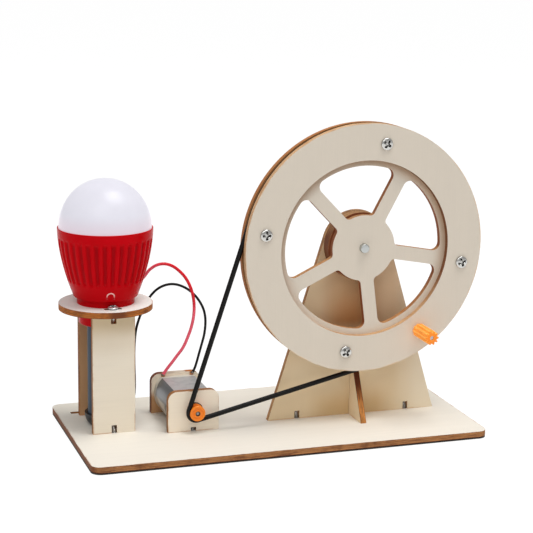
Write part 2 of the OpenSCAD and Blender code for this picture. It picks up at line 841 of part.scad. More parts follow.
module front_spacer() {
    spacer_disc(spacer_y);
}

module back_spacer() {
    spacer_disc(spacer_y + ply);
}

// Crank wheel

module wheel_holes() {
    for (i = [0 : wheel_screw_count - 1]) rotate(i * 360 / wheel_screw_count)
        translate([screw_circle_r, 0]) circle(r = screw_r + loose_gap);
    rotate(crank_angle) translate([screw_circle_r, 0]) circle(r = crank_pin_r + press_gap);
}

module wheel_ring(y) {
    color("Wheat") at_wheel() upright(y, ply) rotate(wheel_turn) difference() {
        circle(r = wheel_r);
        circle(r = ring_inner_r);
        wheel_holes();
    }
}

module front_ring() {
    wheel_ring(front_ring_y);
}

module back_ring() {
    wheel_ring(back_ring_y);
}

// One window between the spoke at angle 0 and the next, with a fillet in each corner
module wheel_window() {
    step = 360 / spokes;
    outer_r = window_r - window_fillet;
    inner_r = hub_r + hub_fillet;
    outer_a = asin((spoke_w / 2 + window_fillet) / outer_r);
    inner_a = asin((spoke_w / 2 + hub_fillet) / inner_r);
    outer_b = step - outer_a;
    inner_b = step - inner_a;
    polygon(concat(
        arc(outer_r * [cos(outer_a), sin(outer_a)], window_fillet, -90, outer_a, 8),
        arc([0, 0], window_r, outer_a, outer_b, 16),
        arc(outer_r * [cos(outer_b), sin(outer_b)], window_fillet, outer_b, step + 90, 8),
        arc(inner_r * [cos(inner_b), sin(inner_b)], hub_fillet, step + 90, inner_b + 180, 6),
        arc([0, 0], hub_r, inner_b, inner_a, 10),
        arc(inner_r * [cos(inner_a), sin(inner_a)], hub_fillet, inner_a + 180, 270, 6)
    ));
}

module spoked_disc() {
    color("Wheat") at_wheel() upright(disc_y, ply) rotate(wheel_turn) difference() {
        circle(r = disc_r);
        circle(r = axle_r + press_gap);
        wheel_holes();
        for (i = [0 : spokes - 1]) rotate(i * 360 / spokes) wheel_window();
    }
}

module wheel_screws() {
    color("Silver") for (i = [0 : wheel_screw_count - 1])
        on_wheel(screw_circle_r, i * 360 / wheel_screw_count)
            translate([0, front_ring_y, 0]) rotate([90, 0, 0]) pan_screw(3 * ply - loose_gap, wheel_head_d);
}

module axle() {
    color("LightSteelBlue") at_wheel() bar_y(axle_r, axle_y0, axle_y1);
}

module hub_washer() {
    color("Silver") at_wheel() difference() {
        bar_y(washer_r, washer_y, washer_y + washer_t);
        bar_y(axle_r + press_gap, washer_y - 1, washer_y + washer_t + 1);
    }
}

module axle_collar() {
    color("Peru") at_wheel() difference() {
        bar_y(collar_r, collar_y, collar_y + ply);
        bar_y(axle_r + press_gap, collar_y - 1, collar_y + ply + 1);
    }
}

// Crank handle

module crank_pin() {
    color("Silver") on_wheel(screw_circle_r, crank_angle)
        bar_y(crank_pin_r, grip_y0 + pin_recess, wheel_back_y);
}

// Outline of the grip: teeth with rounded tips on a root circle
tooth = [[-0.34, 0], [-0.2, 0.6], [-0.09, 1], [0.09, 1], [0.2, 0.6], [0.34, 0]];

function grip_outline() = [
    for (i = [0 : grip_teeth - 1], corner = tooth)
        let (a = (i + corner[0]) * 360 / grip_teeth, r = grip_r - tooth_depth * (1 - corner[1]))
            r * [cos(a), sin(a)]
];

module crank_handle() {
    color("Orange") on_wheel(screw_circle_r, crank_angle) difference() {
        union() {
            upright(grip_y0, grip_len) polygon(grip_outline());
            bar_y(grip_r - tooth_depth / 4, grip_y1 - grip_end, grip_y1);
        }
        bar_y(crank_pin_r + run_gap, grip_y0 - 1, grip_y1 + 1);
    }
}

// Lead wires

// Direction of a route at one of its points
function route_dir(route, i) =
    let (a = route[max(i - 1, 0)], b = route[min(i + 1, len(route) - 1)]) (b - a) / norm(b - a);

// One ring of points around a route, square to its direction
function route_ring(route, i, r) =
    let (t = route_dir(route, i), s = cross(t, [0, 1, 0]), u = s / norm(s), v = cross(t, u))
    [for (k = [0 : wire_sides - 1])
        let (a = k * 360 / wire_sides) route[i] + r * (cos(a) * u + sin(a) * v)];

// A round wire along a route, closed at both ends
module wire(route, d) {
    last = len(route) - 1;
    points = [for (i = [0 : last]) each route_ring(route, i, d / 2)];
    sides = [for (i = [0 : last - 1], k = [0 : wire_sides - 1])
        let (m = (k + 1) % wire_sides, a = i * wire_sides, b = a + wire_sides)
            each [[a + k, b + k, b + m], [a + k, b + m, a + m]]];
    first_end = [for (k = [1 : wire_sides - 2]) [0, k, k + 1]];
    last_end = [for (k = [1 : wire_sides - 2]) [for (m = [0, k + 1, k]) last * wire_sides + m]];
    polyhedron(points = points, faces = concat(sides, first_end, last_end));
}

module red_wire() {
    color("Red") wire(red_route, red_wire_d);
}

module black_wire() {
    color("Black") wire(black_route, black_wire_d);
}

base_board();
board_screws();
column_front();
column_back();
lamp_plate();
plate_screws();
lamp_housing();
lamp_dome();
led_board();
led_chips();
lamp_cell();
cell_foot();
motor_front_plate();
motor_back_plate();
motor_can();
motor_end_cap();
motor_magnets();
motor_brushes();
motor_terminals();
front_bush();
rear_bush();
motor_shaft();
armature_core();
armature_windings();
commutator();
pulley();
drive_belt();
stand_plate();
stand_gusset();
front_spacer();
back_spacer();
front_ring();
spoked_disc();
back_ring();
wheel_screws();
axle();
hub_washer();
axle_collar();
crank_pin();
crank_handle();
red_wire();
black_wire();
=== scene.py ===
"""Looks of a plywood hand crank generator: crank wheel, belt, motor, leads and bulb lamp.

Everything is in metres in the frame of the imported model: +X to the right, +Y to the back, +Z up,
with the origin at the centre of the board's underside.
"""
import json
import math

import bpy
import numpy as np
from mathutils import Matrix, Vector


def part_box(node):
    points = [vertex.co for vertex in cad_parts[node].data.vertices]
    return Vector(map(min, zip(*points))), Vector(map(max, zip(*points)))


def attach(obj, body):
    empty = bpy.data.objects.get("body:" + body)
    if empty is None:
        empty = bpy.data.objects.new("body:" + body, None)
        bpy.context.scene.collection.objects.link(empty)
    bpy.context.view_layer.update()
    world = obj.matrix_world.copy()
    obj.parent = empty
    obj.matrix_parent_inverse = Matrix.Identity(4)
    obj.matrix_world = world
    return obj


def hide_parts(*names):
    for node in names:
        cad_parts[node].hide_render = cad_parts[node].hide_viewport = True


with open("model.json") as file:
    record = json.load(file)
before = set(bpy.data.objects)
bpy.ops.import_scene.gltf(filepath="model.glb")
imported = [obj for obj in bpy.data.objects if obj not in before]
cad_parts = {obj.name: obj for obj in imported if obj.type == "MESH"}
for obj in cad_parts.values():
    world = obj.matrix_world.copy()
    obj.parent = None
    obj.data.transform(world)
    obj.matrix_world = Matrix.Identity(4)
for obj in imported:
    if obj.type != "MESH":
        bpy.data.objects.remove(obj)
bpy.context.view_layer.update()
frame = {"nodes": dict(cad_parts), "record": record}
scene = bpy.context.scene
MM = 0.001

# Camera, as solved from the board's corners and the upright plates

PHOTO_WIDTH = 533
FOCAL_PIXELS = 1602.6
SENSOR_WIDTH = 36.0
YAW, PITCH, ROLL = (math.radians(a) for a in (18.67, 12.59, -0.93))
CAMERA_AT = np.array([-248.58, -733.05, 254.08]) * MM


def aimed(right, up, back, at):
    """The placing of a camera or a lamp: its right, up and back directions and its place."""
    turn = np.eye(4)
    turn[:3] = np.stack([right, up, back, at], -1)
    return Matrix(turn.tolist())


def place_camera():
    """Turns the camera by yaw, then pitch, then roll: right and down are found from the view
    direction, then turned about it by the roll."""
    ahead = np.array([math.sin(YAW) * math.cos(PITCH), math.cos(YAW) * math.cos(PITCH), -math.sin(PITCH)])
    level = np.array([math.cos(YAW), -math.sin(YAW), 0.0])
    down = np.cross(ahead, level)
    right = math.cos(ROLL) * level + math.sin(ROLL) * down
    up = math.sin(ROLL) * level - math.cos(ROLL) * down
    data = bpy.data.cameras.new("photo_camera")
    data.sensor_width = SENSOR_WIDTH
    data.lens = FOCAL_PIXELS / PHOTO_WIDTH * SENSOR_WIDTH
    data.clip_start = 0.01
    data.clip_end = 20.0
    camera = bpy.data.objects.new("photo_camera", data)
    camera.matrix_world = aimed(right, up, -ahead, CAMERA_AT)
    scene.collection.objects.link(camera)
    scene.camera = camera


place_camera()

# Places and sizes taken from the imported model


def middle(node):
    """The centre of a node's box at rest."""
    low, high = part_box(node)
    return (np.array(low) + np.array(high)) / 2


def half_size(node, axis):
    """Half of a node's size at rest along an axis, with 0 for X, 1 for Y and 2 for Z."""
    low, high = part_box(node)
    return (high[axis] - low[axis]) / 2


LAMP_AT = middle("lamp_cell")
WHEEL_AT = middle("front_ring")
MOTOR_AT = middle("pulley")
CRANK_AT = middle("crank_handle")
WHEEL_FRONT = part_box("front_ring")[0][1]
PLATE_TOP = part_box("lamp_plate")[1][2]
NECK_Z, RIM_Z = (corner[2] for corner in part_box("lamp_housing"))
DOME_Z, DOME_TOP = (corner[2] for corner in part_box("lamp_dome"))
RIM_R, DOME_R = half_size("lamp_housing", 0), half_size("lamp_dome", 0)
GROOVE_R = half_size("spoked_disc", 0)

# Sizes of the bulb lamp

NECK_R, COLLAR_R, SHOULDER_R = 13.2 * MM, 14.1 * MM, 15.6 * MM
NECK_ROUND, SHOULDER_ROUND, COLLAR_EDGE = 0.5 * MM, 0.6 * MM, 0.3 * MM
COLLAR_H, COLLAR_ROW, BELLY, LIP = 3.4 * MM, 0.6 * MM, 1.8, 0.6 * MM
SHOULDER_Z = PLATE_TOP + COLLAR_H
FLUTES, FLUTE_DEPTH, FLUTE_END, FLUTE_SQUARENESS = 34, 0.9 * MM, 0.9 * MM, 2.6
RIM_BAND, SHOULDER_BAND = 4.6 * MM, 8.0 * MM
FLUTES_FROM, FLUTES_TO = SHOULDER_Z + SHOULDER_BAND, RIM_Z - RIM_BAND
SOCKET_R, SOCKET_DEPTH = 9.2 * MM, 6.9 * MM
PLATE_SCREW_OUT, PAN_HEAD_R, PAN_HEAD_H = 15.8 * MM, 2.5 * MM, 1.6 * MM
BESIDE_HEAD, OVER_HEAD = 0.05 * MM, 0.1 * MM
ARCH_ANGLE, ARCH_Z = math.radians(-94.5), 71.4 * MM
ARCH_R, ARCH_LEG, ARCH_WIRE = 1.75 * MM, 1.6 * MM, 0.34 * MM

# Material helpers

AXES = {"x": 0, "y": 1, "z": 2}
# A surface faces a way when that part of its direction is past this
FACING = 0.7
CLOUD_SCALE, SKIN_SCALE, SKIN_DEPTH = 160.0, 2600.0, 0.2 * MM


def start_finish(name, roughness, **sockets):
    """A new node material; the named sockets of its shader are set to constant values."""
    finish = bpy.data.materials.new(name)
    finish.use_nodes = True
    shader = finish.node_tree.nodes["Principled BSDF"]
    shader.inputs["Roughness"].default_value = roughness
    for key, value in sockets.items():
        shader.inputs[key.replace("_", " ").title().replace("Ior", "IOR")].default_value = value
    return finish, finish.node_tree, shader


def put(tree, kind, sockets=None, **settings):
    """Adds a node, sets its settings, and fills its sockets with values or links."""
    made = tree.nodes.new("ShaderNode" + kind)
    for key, value in settings.items():
        setattr(made, key, value)
    for key, value in (sockets or {}).items():
        if isinstance(value, bpy.types.NodeSocket):
            tree.links.new(value, made.inputs[key])
        else:
            made.inputs[key].default_value = value
    return made


def maths(tree, operation, a, b=0.0, c=0.0, clamp=False):
    """The result of one operation on up to three values."""
    return put(tree, "Math", {0: a, 1: b, 2: c}, operation=operation, use_clamp=clamp).outputs[0]


def product(tree, first, *others):
    """All the values multiplied with each other."""
    for other in others:
        first = maths(tree, "MULTIPLY", first, other)
    return first


def span(tree, offsets):
    """The root of the sum of two squared offsets."""
    return maths(tree, "SQRT", maths(tree, "ADD", *(product(tree, offset, offset) for offset in offsets)))


def split(tree, vector):
    """The three parts of a place or a direction."""
    return put(tree, "SeparateXYZ", {0: vector}).outputs


def off_line(tree, spot, centre):
    """Distance from a line along Y through a centre."""
    place = split(tree, spot)
    return span(tree, [maths(tree, "SUBTRACT", place[k], float(centre[k])) for k in (0, 2)])


def fade(tree, value, start, end):
    """Rises smoothly from 0 where the value is start to 1 where it is end."""
    return put(tree, "MapRange", {0: value, 1: start, 2: end, 3: 0.0, 4: 1.0},
               interpolation_type="SMOOTHSTEP").outputs[0]


def mix_colour(tree, factor, a, b):
    """Mixes two colours; sockets 6 and 7 are the colour inputs, output 2 the colour."""
    sides = [(*c, 1.0) if isinstance(c, tuple) else c for c in (a, b)]
    return put(tree, "Mix", {0: factor, 6: sides[0], 7: sides[1]}, data_type="RGBA").outputs[2]


def ramp(tree, factor, stops):
    """A colour ramp from (place, colour) pairs."""
    made = put(tree, "ValToRGB", {0: factor})
    band = made.color_ramp
    while len(band.elements) < len(stops):
        band.elements.new(0.5)
    for element, (place, colour) in zip(band.elements, stops):
        element.position = place
        element.color = (*colour, 1.0)
    return made.outputs[0]


def noise(tree, vector, scale, detail, roughness=0.5):
    """Cloudy noise from 0 to 1; scale is about the number of clouds in a metre."""
    return put(tree, "TexNoise", {"Vector": vector, "Scale": scale, "Detail": detail,
                                  "Roughness": roughness}).outputs[0]


def drawn_out(tree, spot, axis, scales, detail, roughness=0.5):
    """Noise drawn out along an axis; scales = (across it, along it)."""
    across, along = scales
    stretch = [across] * 3
    stretch[AXES[axis]] = along
    mapped = put(tree, "Mapping", {"Vector": spot, "Scale": stretch}).outputs[0]
    return noise(tree, mapped, 1.0, detail, roughness)


def clouded(tree, spot, dark, light, scale=CLOUD_SCALE):
    """A faint cloud between two colours that are close to each other."""
    return ramp(tree, noise(tree, spot, scale, 2.0), [(0.3, dark), (0.7, light)])


def bump(tree, shader, height, strength, depth=SKIN_DEPTH):
    """Gives a surface the fine relief of a height."""
    made = put(tree, "Bump", {"Height": height, "Strength": strength, "Distance": depth})
    tree.links.new(made.outputs[0], shader.inputs["Normal"])


def moulded_skin(tree, shader, spot, strength=0.04):
    """The fine relief of a moulded surface."""
    bump(tree, shader, noise(tree, spot, SKIN_SCALE, 2.0), strength)


def rgb(r, g, b):
    """A colour given in display values from 0 to 255, as linear light."""
    return tuple(((c / 255 + 0.055) / 1.055) ** 2.4 if c > 10 else c / 255 / 12.92 for c in (r, g, b))


def times(colour, k):
    """A colour made darker or paler by a factor."""
    return tuple(min(1.0, c * k) for c in colour)


def dress(piece, finish):
    """Gives a piece one finish all over."""
    piece.data.materials.clear()
    piece.data.materials.append(finish)


# Plywood

SINGE_WIDTH, GROOVE_LAP = 0.7 * MM, 0.2 * MM
FIBRE_SHARE, SHADE_DRIFT = 0.6, 0.25
# How strongly each tint covers the wood; the last two are painted shade
SINGED, STAINED, STRETCHED, CUT_SHADE, SIDE_SHADE = 0.75, 0.55, 0.9, 0.85, 0.7
RING_SHADE_BELOW, RING_SHADE_ABOVE = 45 * MM, 15 * MM
FIBRE, FIGURE, PLY_STREAKS, PATCH_SCALE = (1500.0, 40.0), (120.0, 12.0), (170.0, 3200.0), 110.0
# Places through the sheet, as shares of it, and how pale its cut edge is there
PLIES = [(0.10, 1.0), (0.30, 1.12), (0.36, 0.62), (0.44, 0.9), (0.60, 1.0), (0.66, 0.62),
         (0.74, 1.1), (0.92, 1.0)]


def border(tree, place, low, high, flat, is_round):
    """Distance from a sheet's outline: from its box, or from its circle where it is round. Gives the
    distance from the circle's middle too."""
    if is_round:
        half = (high[flat[0]] - low[flat[0]]) / 2
        away = span(tree, [maths(tree, "SUBTRACT", place[k], (low[k] + high[k]) / 2) for k in flat])
        return maths(tree, "SUBTRACT", half, away), away
    sides = [maths(tree, "MINIMUM", maths(tree, "SUBTRACT", place[k], low[k]),
                   maths(tree, "SUBTRACT", high[k], place[k])) for k in flat]
    return maths(tree, "MINIMUM", *sides), None


def plywood(node, across, grain, face, edge, char, is_round=False, groove=0, painted_shade_and_tint=(),
            stretches=(), streaky=0.02, ring_shade=None, shaded_cut=None, shaded_side=None, burnt_and_shaded_foot=0.0):
    """Pale birch faces with faint long grain, and brown laser-cut edges with three plies.

    across is the axis through the sheet and grain the axis along its fibres. Face or edge is told
    by the surface's direction, the plies by the place through the sheet. Near its outline a face
    has a thin uneven scorch. groove is the side on which a wheel ring is darker beyond the spoked
    disc, in the belt's groove. Each smoke = (colour, (axis, start, end), ...) tints the front face
    where all its ranges meet, each rising from its start to its end; most of these are painted
    shade and painted light, such as the wheel's shadow on the stand. Each of stretches = (colour,
    axis, start, end, soft) tints a stretch of the cut edge with soft ends. streaky is the strength
    of the grain. halo = (start, end, colour) is painted shade on a round face from one radius to
    another, more in its upper half, where the front ring shades the disc. shaded_cut = (radius,
    colour) is painted shade on the cut edges nearer to the middle than the radius, unless they face
    up, and shaded_side = (axis, sign, colour) on those that face one way. burnt_and_shaded_foot is the
    share of
    the thickness that is dark at the bottom: burnt ply and painted contact shade."""
    low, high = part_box(node)
    k = AXES[across]
    flat = [a for a in range(3) if a != k]
    finish, tree, shader = start_finish("plywood_" + node, 0.66, specular_ior_level=0.2)
    coords = put(tree, "TexCoord")
    spot = coords.outputs["Object"]
    place = split(tree, spot)
    facing = split(tree, coords.outputs["Normal"])
    gap, away = border(tree, place, low, high, flat, is_round)
    fine = drawn_out(tree, spot, grain, FIBRE, 4.0, 0.6)
    broad = drawn_out(tree, spot, grain, FIGURE, 2.0)
    streaks = drawn_out(tree, spot, across, PLY_STREAKS, 4.0, 0.65)
    patches = noise(tree, spot, PATCH_SCALE, 3.0, 0.6)

    tone = maths(tree, "ADD", product(tree, fine, FIBRE_SHARE), product(tree, broad, 1 - FIBRE_SHARE))
    veneer = ramp(tree, tone, [(0.30, times(face, 1 - 2 * streaky)), (0.50, face),
                               (0.70, times(face, 1 + streaky))])
    is_front = maths(tree, "LESS_THAN", facing[k], 0.0)
    # Tints on the front face, mostly painted shade and painted light
    for colour, *ranges in painted_shade_and_tint:
        painted_share = is_front
        for axis, start, end in ranges:
            drift = maths(tree, "MULTIPLY_ADD", broad, SHADE_DRIFT * (end - start), place[AXES[axis]])
            painted_share = product(tree, painted_share, fade(tree, drift, start, end))
        veneer = mix_colour(tree, painted_share, veneer, colour)
    # Painted shade near a wheel ring, more in the upper half
    if ring_shade:
        start, end, colour = ring_shade
        middle_z = (low[2] + high[2]) / 2
        upper = fade(tree, place[2], middle_z - RING_SHADE_BELOW, middle_z + RING_SHADE_ABOVE)
        veneer = mix_colour(tree, product(tree, fade(tree, away, start, end), upper), veneer, colour)
    near_edge = fade(tree, gap, SINGE_WIDTH, 0.0)
    singed = product(tree, near_edge, fade(tree, patches, 0.40, 0.62), SINGED)
    veneer = mix_colour(tree, singed, veneer, edge)
    # Darker beyond the spoked disc, in the belt's groove
    if groove:
        side = maths(tree, "GREATER_THAN", product(tree, facing[k], float(groove)), FACING)
        in_groove = product(tree, side, maths(tree, "GREATER_THAN", away, GROOVE_R - GROOVE_LAP))
        veneer = mix_colour(tree, in_groove, veneer, times(edge, 0.8))

    through = maths(tree, "DIVIDE", maths(tree, "SUBTRACT", place[k], low[k]), high[k] - low[k])
    layers = [(at, times(edge, pale)) for at, pale in PLIES]
    plies = ramp(tree, through, [(0.0, char), *layers, (1.0, char)])
    cut = mix_colour(tree, fade(tree, streaks, 0.42, 0.74), plies, times(char, 1.25))
    cut = mix_colour(tree, product(tree, fade(tree, patches, 0.48, 0.72), STAINED), cut, char)
    for colour, axis, start, end, soft in stretches:
        along = place[AXES[axis]]
        within = product(tree, fade(tree, along, start, start + soft), fade(tree, along, end, end - soft))
        cut = mix_colour(tree, product(tree, within, STRETCHED), cut, colour)
    # Painted shade on cut edges that do not face up
    if shaded_cut:
        radius, colour = shaded_cut
        below = product(tree, maths(tree, "LESS_THAN", away, radius), fade(tree, facing[2], 0.85, 0.25))
        cut = mix_colour(tree, product(tree, below, CUT_SHADE), cut, colour)
    # Painted shade on cut edges that face one way
    if shaded_side:
        axis, sign, colour = shaded_side
        turned_away = fade(tree, product(tree, facing[AXES[axis]], float(sign)), 0.3, 0.9)
        cut = mix_colour(tree, product(tree, turned_away, SIDE_SHADE), cut, colour)
    # Burnt bottom ply, with painted contact shade
    if burnt_and_shaded_foot:
        cut = mix_colour(tree, fade(tree, through, burnt_and_shaded_foot, burnt_and_shaded_foot * 0.5), cut, times(char, 0.7))

    is_face = maths(tree, "GREATER_THAN", maths(tree, "ABSOLUTE", facing[k]), FACING)
    tree.links.new(mix_colour(tree, is_face, cut, veneer), shader.inputs["Base Color"])
    bump(tree, shader, maths(tree, "ADD", fine, product(tree, streaks, 0.5)), 0.10, 0.3 * MM)
    return finish


BOARD_FACE = rgb(245, 239, 227)
PLATE_FACE = rgb(250, 254, 247)
COLUMN_FACE = rgb(245, 234, 215)
MOTOR_FACE = rgb(252, 239, 219)
STAND_FACE = rgb(246, 231, 204)
STAND_MIDDLE = rgb(237, 214, 177)
STAND_PAINTED_LIGHT = rgb(255, 236, 200)
STAND_FOOT = rgb(217, 186, 140)
GUSSET_FACE = rgb(242, 221, 187)
WHEEL_FACE = rgb(229, 218, 202)
# Tints for the faces, mostly painted shade and painted light
DEEP_BROWN = rgb(204, 158, 116)
SHADED = rgb(208, 170, 128)
WHEEL_SHADOW_BROWN = rgb(190, 134, 84)
SHADOWED = rgb(214, 193, 161)
DIMMED = rgb(238, 224, 202)
LIT = rgb(220, 190, 154)
BURNT_AND_SHADED = rgb(112, 60, 34)
CHARRED = rgb(82, 24, 6)
CREAM = rgb(236, 222, 200)
RING_SHADOW_TAN = rgb(192, 161, 130)
ORANGE = rgb(196, 116, 48)
AMBER = rgb(218, 144, 74)
HONEY = rgb(228, 190, 146)
GOLDEN = rgb(216, 166, 114)
BROWN = rgb(172, 104, 56)
TAWNY = rgb(186, 128, 78)
RUSSET = rgb(140, 76, 46)
UMBER = rgb(92, 50, 32)
SCORCH = rgb(66, 36, 24)

# Radii for shaded_cut, the painted shade on cut edges: one past every cut edge, and one between a wheel
# ring's two edges
ALL_CUTS, INNER_CUTS = 70 * MM, 50 * MM
# Spacers: painted shade on their cut edges, unless they face up
SPACER = dict(across="y", grain="x", face=RUSSET, edge=GOLDEN, char=UMBER, is_round=True,
              shaded_cut=(ALL_CUTS, BURNT_AND_SHADED))
WHEEL_LAYER = dict(across="y", grain="z", face=WHEEL_FACE, is_round=True, streaky=0.01)

PLYWOOD = {
    # Its left edge is darker as painted shade; its bottom ply is burnt dark, with painted contact shade
    "base_board": dict(across="z", grain="x", face=BOARD_FACE, edge=TAWNY, char=UMBER, burnt_and_shaded_foot=0.14,
                       shaded_side=("x", -1, BURNT_AND_SHADED)),
    "lamp_plate": dict(across="z", grain="x", face=PLATE_FACE, edge=ORANGE, char=UMBER, is_round=True,
                       stretches=[(BURNT_AND_SHADED, "x", -85 * MM, -71 * MM, 5 * MM)]),
    # Painted shadow of the lamp plate, darker towards the top
    "column_front": dict(across="y", grain="x", face=COLUMN_FACE, edge=TAWNY, char=SCORCH,
                         painted_shade_and_tint=[(DIMMED, ("z", 40 * MM, 50 * MM)),
                                (SHADOWED, ("z", 50 * MM, 59.5 * MM))]),
    # Its whole front face is browner
    "column_back": dict(across="y", grain="x", face=COLUMN_FACE, edge=BROWN, char=SCORCH,
                        painted_shade_and_tint=[(DEEP_BROWN, ("z", 0.0, 1 * MM))]),
    "motor_front_plate": dict(across="y", grain="x", face=MOTOR_FACE, edge=TAWNY, char=SCORCH),
    # Its front face is browner towards the bottom as painted shade
    "motor_back_plate": dict(across="y", grain="x", face=MOTOR_FACE, edge=RUSSET, char=SCORCH,
                             stretches=[(CREAM, "x", -48.5 * MM, -34.5 * MM, 2.5 * MM),
                                        (ORANGE, "x", -36.5 * MM, -29.5 * MM, 2 * MM)],
                             painted_shade_and_tint=[(DEEP_BROWN, ("z", 15 * MM, 10 * MM))]),
    # Its front face has painted shade and light: brown behind the wheel as its painted shadow, paler to
    # the right as painted light, a pale patch of painted light at the left, and darker near the foot by
    # the gusset, painted shade with scorch
    "stand_plate": dict(across="y", grain="z", face=STAND_FACE, edge=GOLDEN, char=UMBER,
                        painted_shade_and_tint=[(WHEEL_SHADOW_BROWN, ("z", 26 * MM, 46 * MM)), (SHADED, ("z", 54 * MM, 78 * MM)),
                               (STAND_MIDDLE, ("x", 38 * MM, 14 * MM)), (LIT, ("x", 46 * MM, 66 * MM)),
                               (STAND_MIDDLE, ("z", 44 * MM, 28 * MM)),
                               (STAND_PAINTED_LIGHT, ("z", 18 * MM, 30 * MM), ("z", 52 * MM, 40 * MM),
                                ("x", 6 * MM, 26 * MM), ("x", 62 * MM, 46 * MM)),
                               (STAND_FOOT, ("z", 18 * MM, 5 * MM), ("x", 20 * MM, 34 * MM),
                                ("x", 68 * MM, 54 * MM)),
                               (STAND_FACE, ("x", 66 * MM, 84 * MM))]),
    "stand_gusset": dict(across="x", grain="z", face=GUSSET_FACE, edge=AMBER, char=SCORCH,
                         stretches=[(CHARRED, "z", 8 * MM, 90 * MM, 14 * MM)]),
    "front_spacer": SPACER,
    "back_spacer": SPACER,
    # Painted shade on its inner cut edges, unless they face up
    "front_ring": dict(WHEEL_LAYER, edge=HONEY, char=TAWNY, groove=1, shaded_cut=(INNER_CUTS, BURNT_AND_SHADED)),
    # Painted shade of the front ring on the disc near it, and on its cut edges
    "spoked_disc": dict(WHEEL_LAYER, edge=GOLDEN, char=BROWN, ring_shade=(37 * MM, 45 * MM, RING_SHADOW_TAN),
                        shaded_cut=(ALL_CUTS, RUSSET)),
    "back_ring": dict(WHEEL_LAYER, edge=TAWNY, char=BROWN, groove=-1),
    "axle_collar": dict(across="y", grain="x", face=STAND_FACE, edge=ORANGE, char=UMBER, is_round=True),
}

# Other finishes

MOTTLE = 0.06
DRAWN_LINES, TARNISH_SCALE, GLOSS_SPREAD, LINE_RELIEF = (1800.0, 60.0), 240.0, 0.18, 0.05
# Painted shade in the recesses of screw heads
RECESS_SHADE_COLOUR, RECESS_REACH = rgb(26, 24, 23), 1.2 * MM
# Dark rings at the motor shaft's end and in the pulley around it: painted shade, and dirty too
DARK_RIM, DARK_RIM_FROM, DARK_RIM_FULL = rgb(52, 46, 42), 0.62 * MM, 0.80 * MM
DIRT_AND_SHADE, DIRT_AND_SHADE_OUTER, DIRT_AND_SHADE_FULL = rgb(70, 34, 16), 1.35 * MM, 1.1 * MM
# Grey of the tarnish and of the painted shade on the can
TARNISH_AND_SHADE_GREY = rgb(120, 120, 121)


def moulded(name, colour, roughness, **sockets):
    """Moulded plastic or rubber: an even colour with a faint cloud in it and a fine skin."""
    finish, tree, shader = start_finish(name, roughness, **sockets)
    spot = put(tree, "TexCoord").outputs["Object"]
    tone = clouded(tree, spot, times(colour, 1 - MOTTLE), times(colour, 1 + MOTTLE))
    tree.links.new(tone, shader.inputs["Base Color"])
    moulded_skin(tree, shader, spot)
    return finish


def drawn_metal(name, colour, roughness, along, streak=0.12, tarnish=0.0, recess_shade=None, rim=None,
                metallic=1.0):
    """Drawn or rolled metal: fine streaks along one axis in colour and gloss, and cloudy tarnish.
    grime = (axis, sign, start) adds painted shade where the surface is closed in by its own recess,
    beyond a place along an axis. rim is the centre of a rod along Y whose front end has a dark rim,
    painted shade and dirty too."""
    finish, tree, shader = start_finish(name, roughness, metallic=metallic)
    coords = put(tree, "TexCoord")
    spot = coords.outputs["Object"]
    lines = drawn_out(tree, spot, along, DRAWN_LINES, 3.0)
    tone = ramp(tree, lines, [(0.3, times(colour, 1 - streak)), (0.7, colour)])
    if tarnish:
        cloud = noise(tree, spot, TARNISH_SCALE, 4.0, 0.65)
        dull = product(tree, fade(tree, cloud, 0.42, 0.66), tarnish)
        tone = mix_colour(tree, dull, tone, times(colour, 0.45))
    # Painted shade in the recess, from ambient occlusion
    if recess_shade:
        axis, sign, start = recess_shade
        open_air = put(tree, "AmbientOcclusion", {"Distance": RECESS_REACH}, samples=8).outputs["AO"]
        outward = product(tree, split(tree, spot)[AXES[axis]], float(sign))
        beyond = maths(tree, "GREATER_THAN", outward, sign * start)
        in_shade = product(tree, fade(tree, open_air, 0.80, 0.44), beyond)
        tone = mix_colour(tree, in_shade, tone, RECESS_SHADE_COLOUR)
    # A dark rim at the rod's front end: painted shade, and dirty too
    if rim is not None:
        at_end = maths(tree, "LESS_THAN", split(tree, coords.outputs["Normal"])[1], -FACING)
        outer = fade(tree, off_line(tree, spot, rim), DARK_RIM_FROM, DARK_RIM_FULL)
        tone = mix_colour(tree, product(tree, at_end, outer), tone, DARK_RIM)
    tree.links.new(tone, shader.inputs["Base Color"])
    gloss = maths(tree, "MULTIPLY_ADD", lines, GLOSS_SPREAD, roughness - GLOSS_SPREAD / 2)
    tree.links.new(gloss, shader.inputs["Roughness"])
    bump(tree, shader, lines, LINE_RELIEF)
    return finish


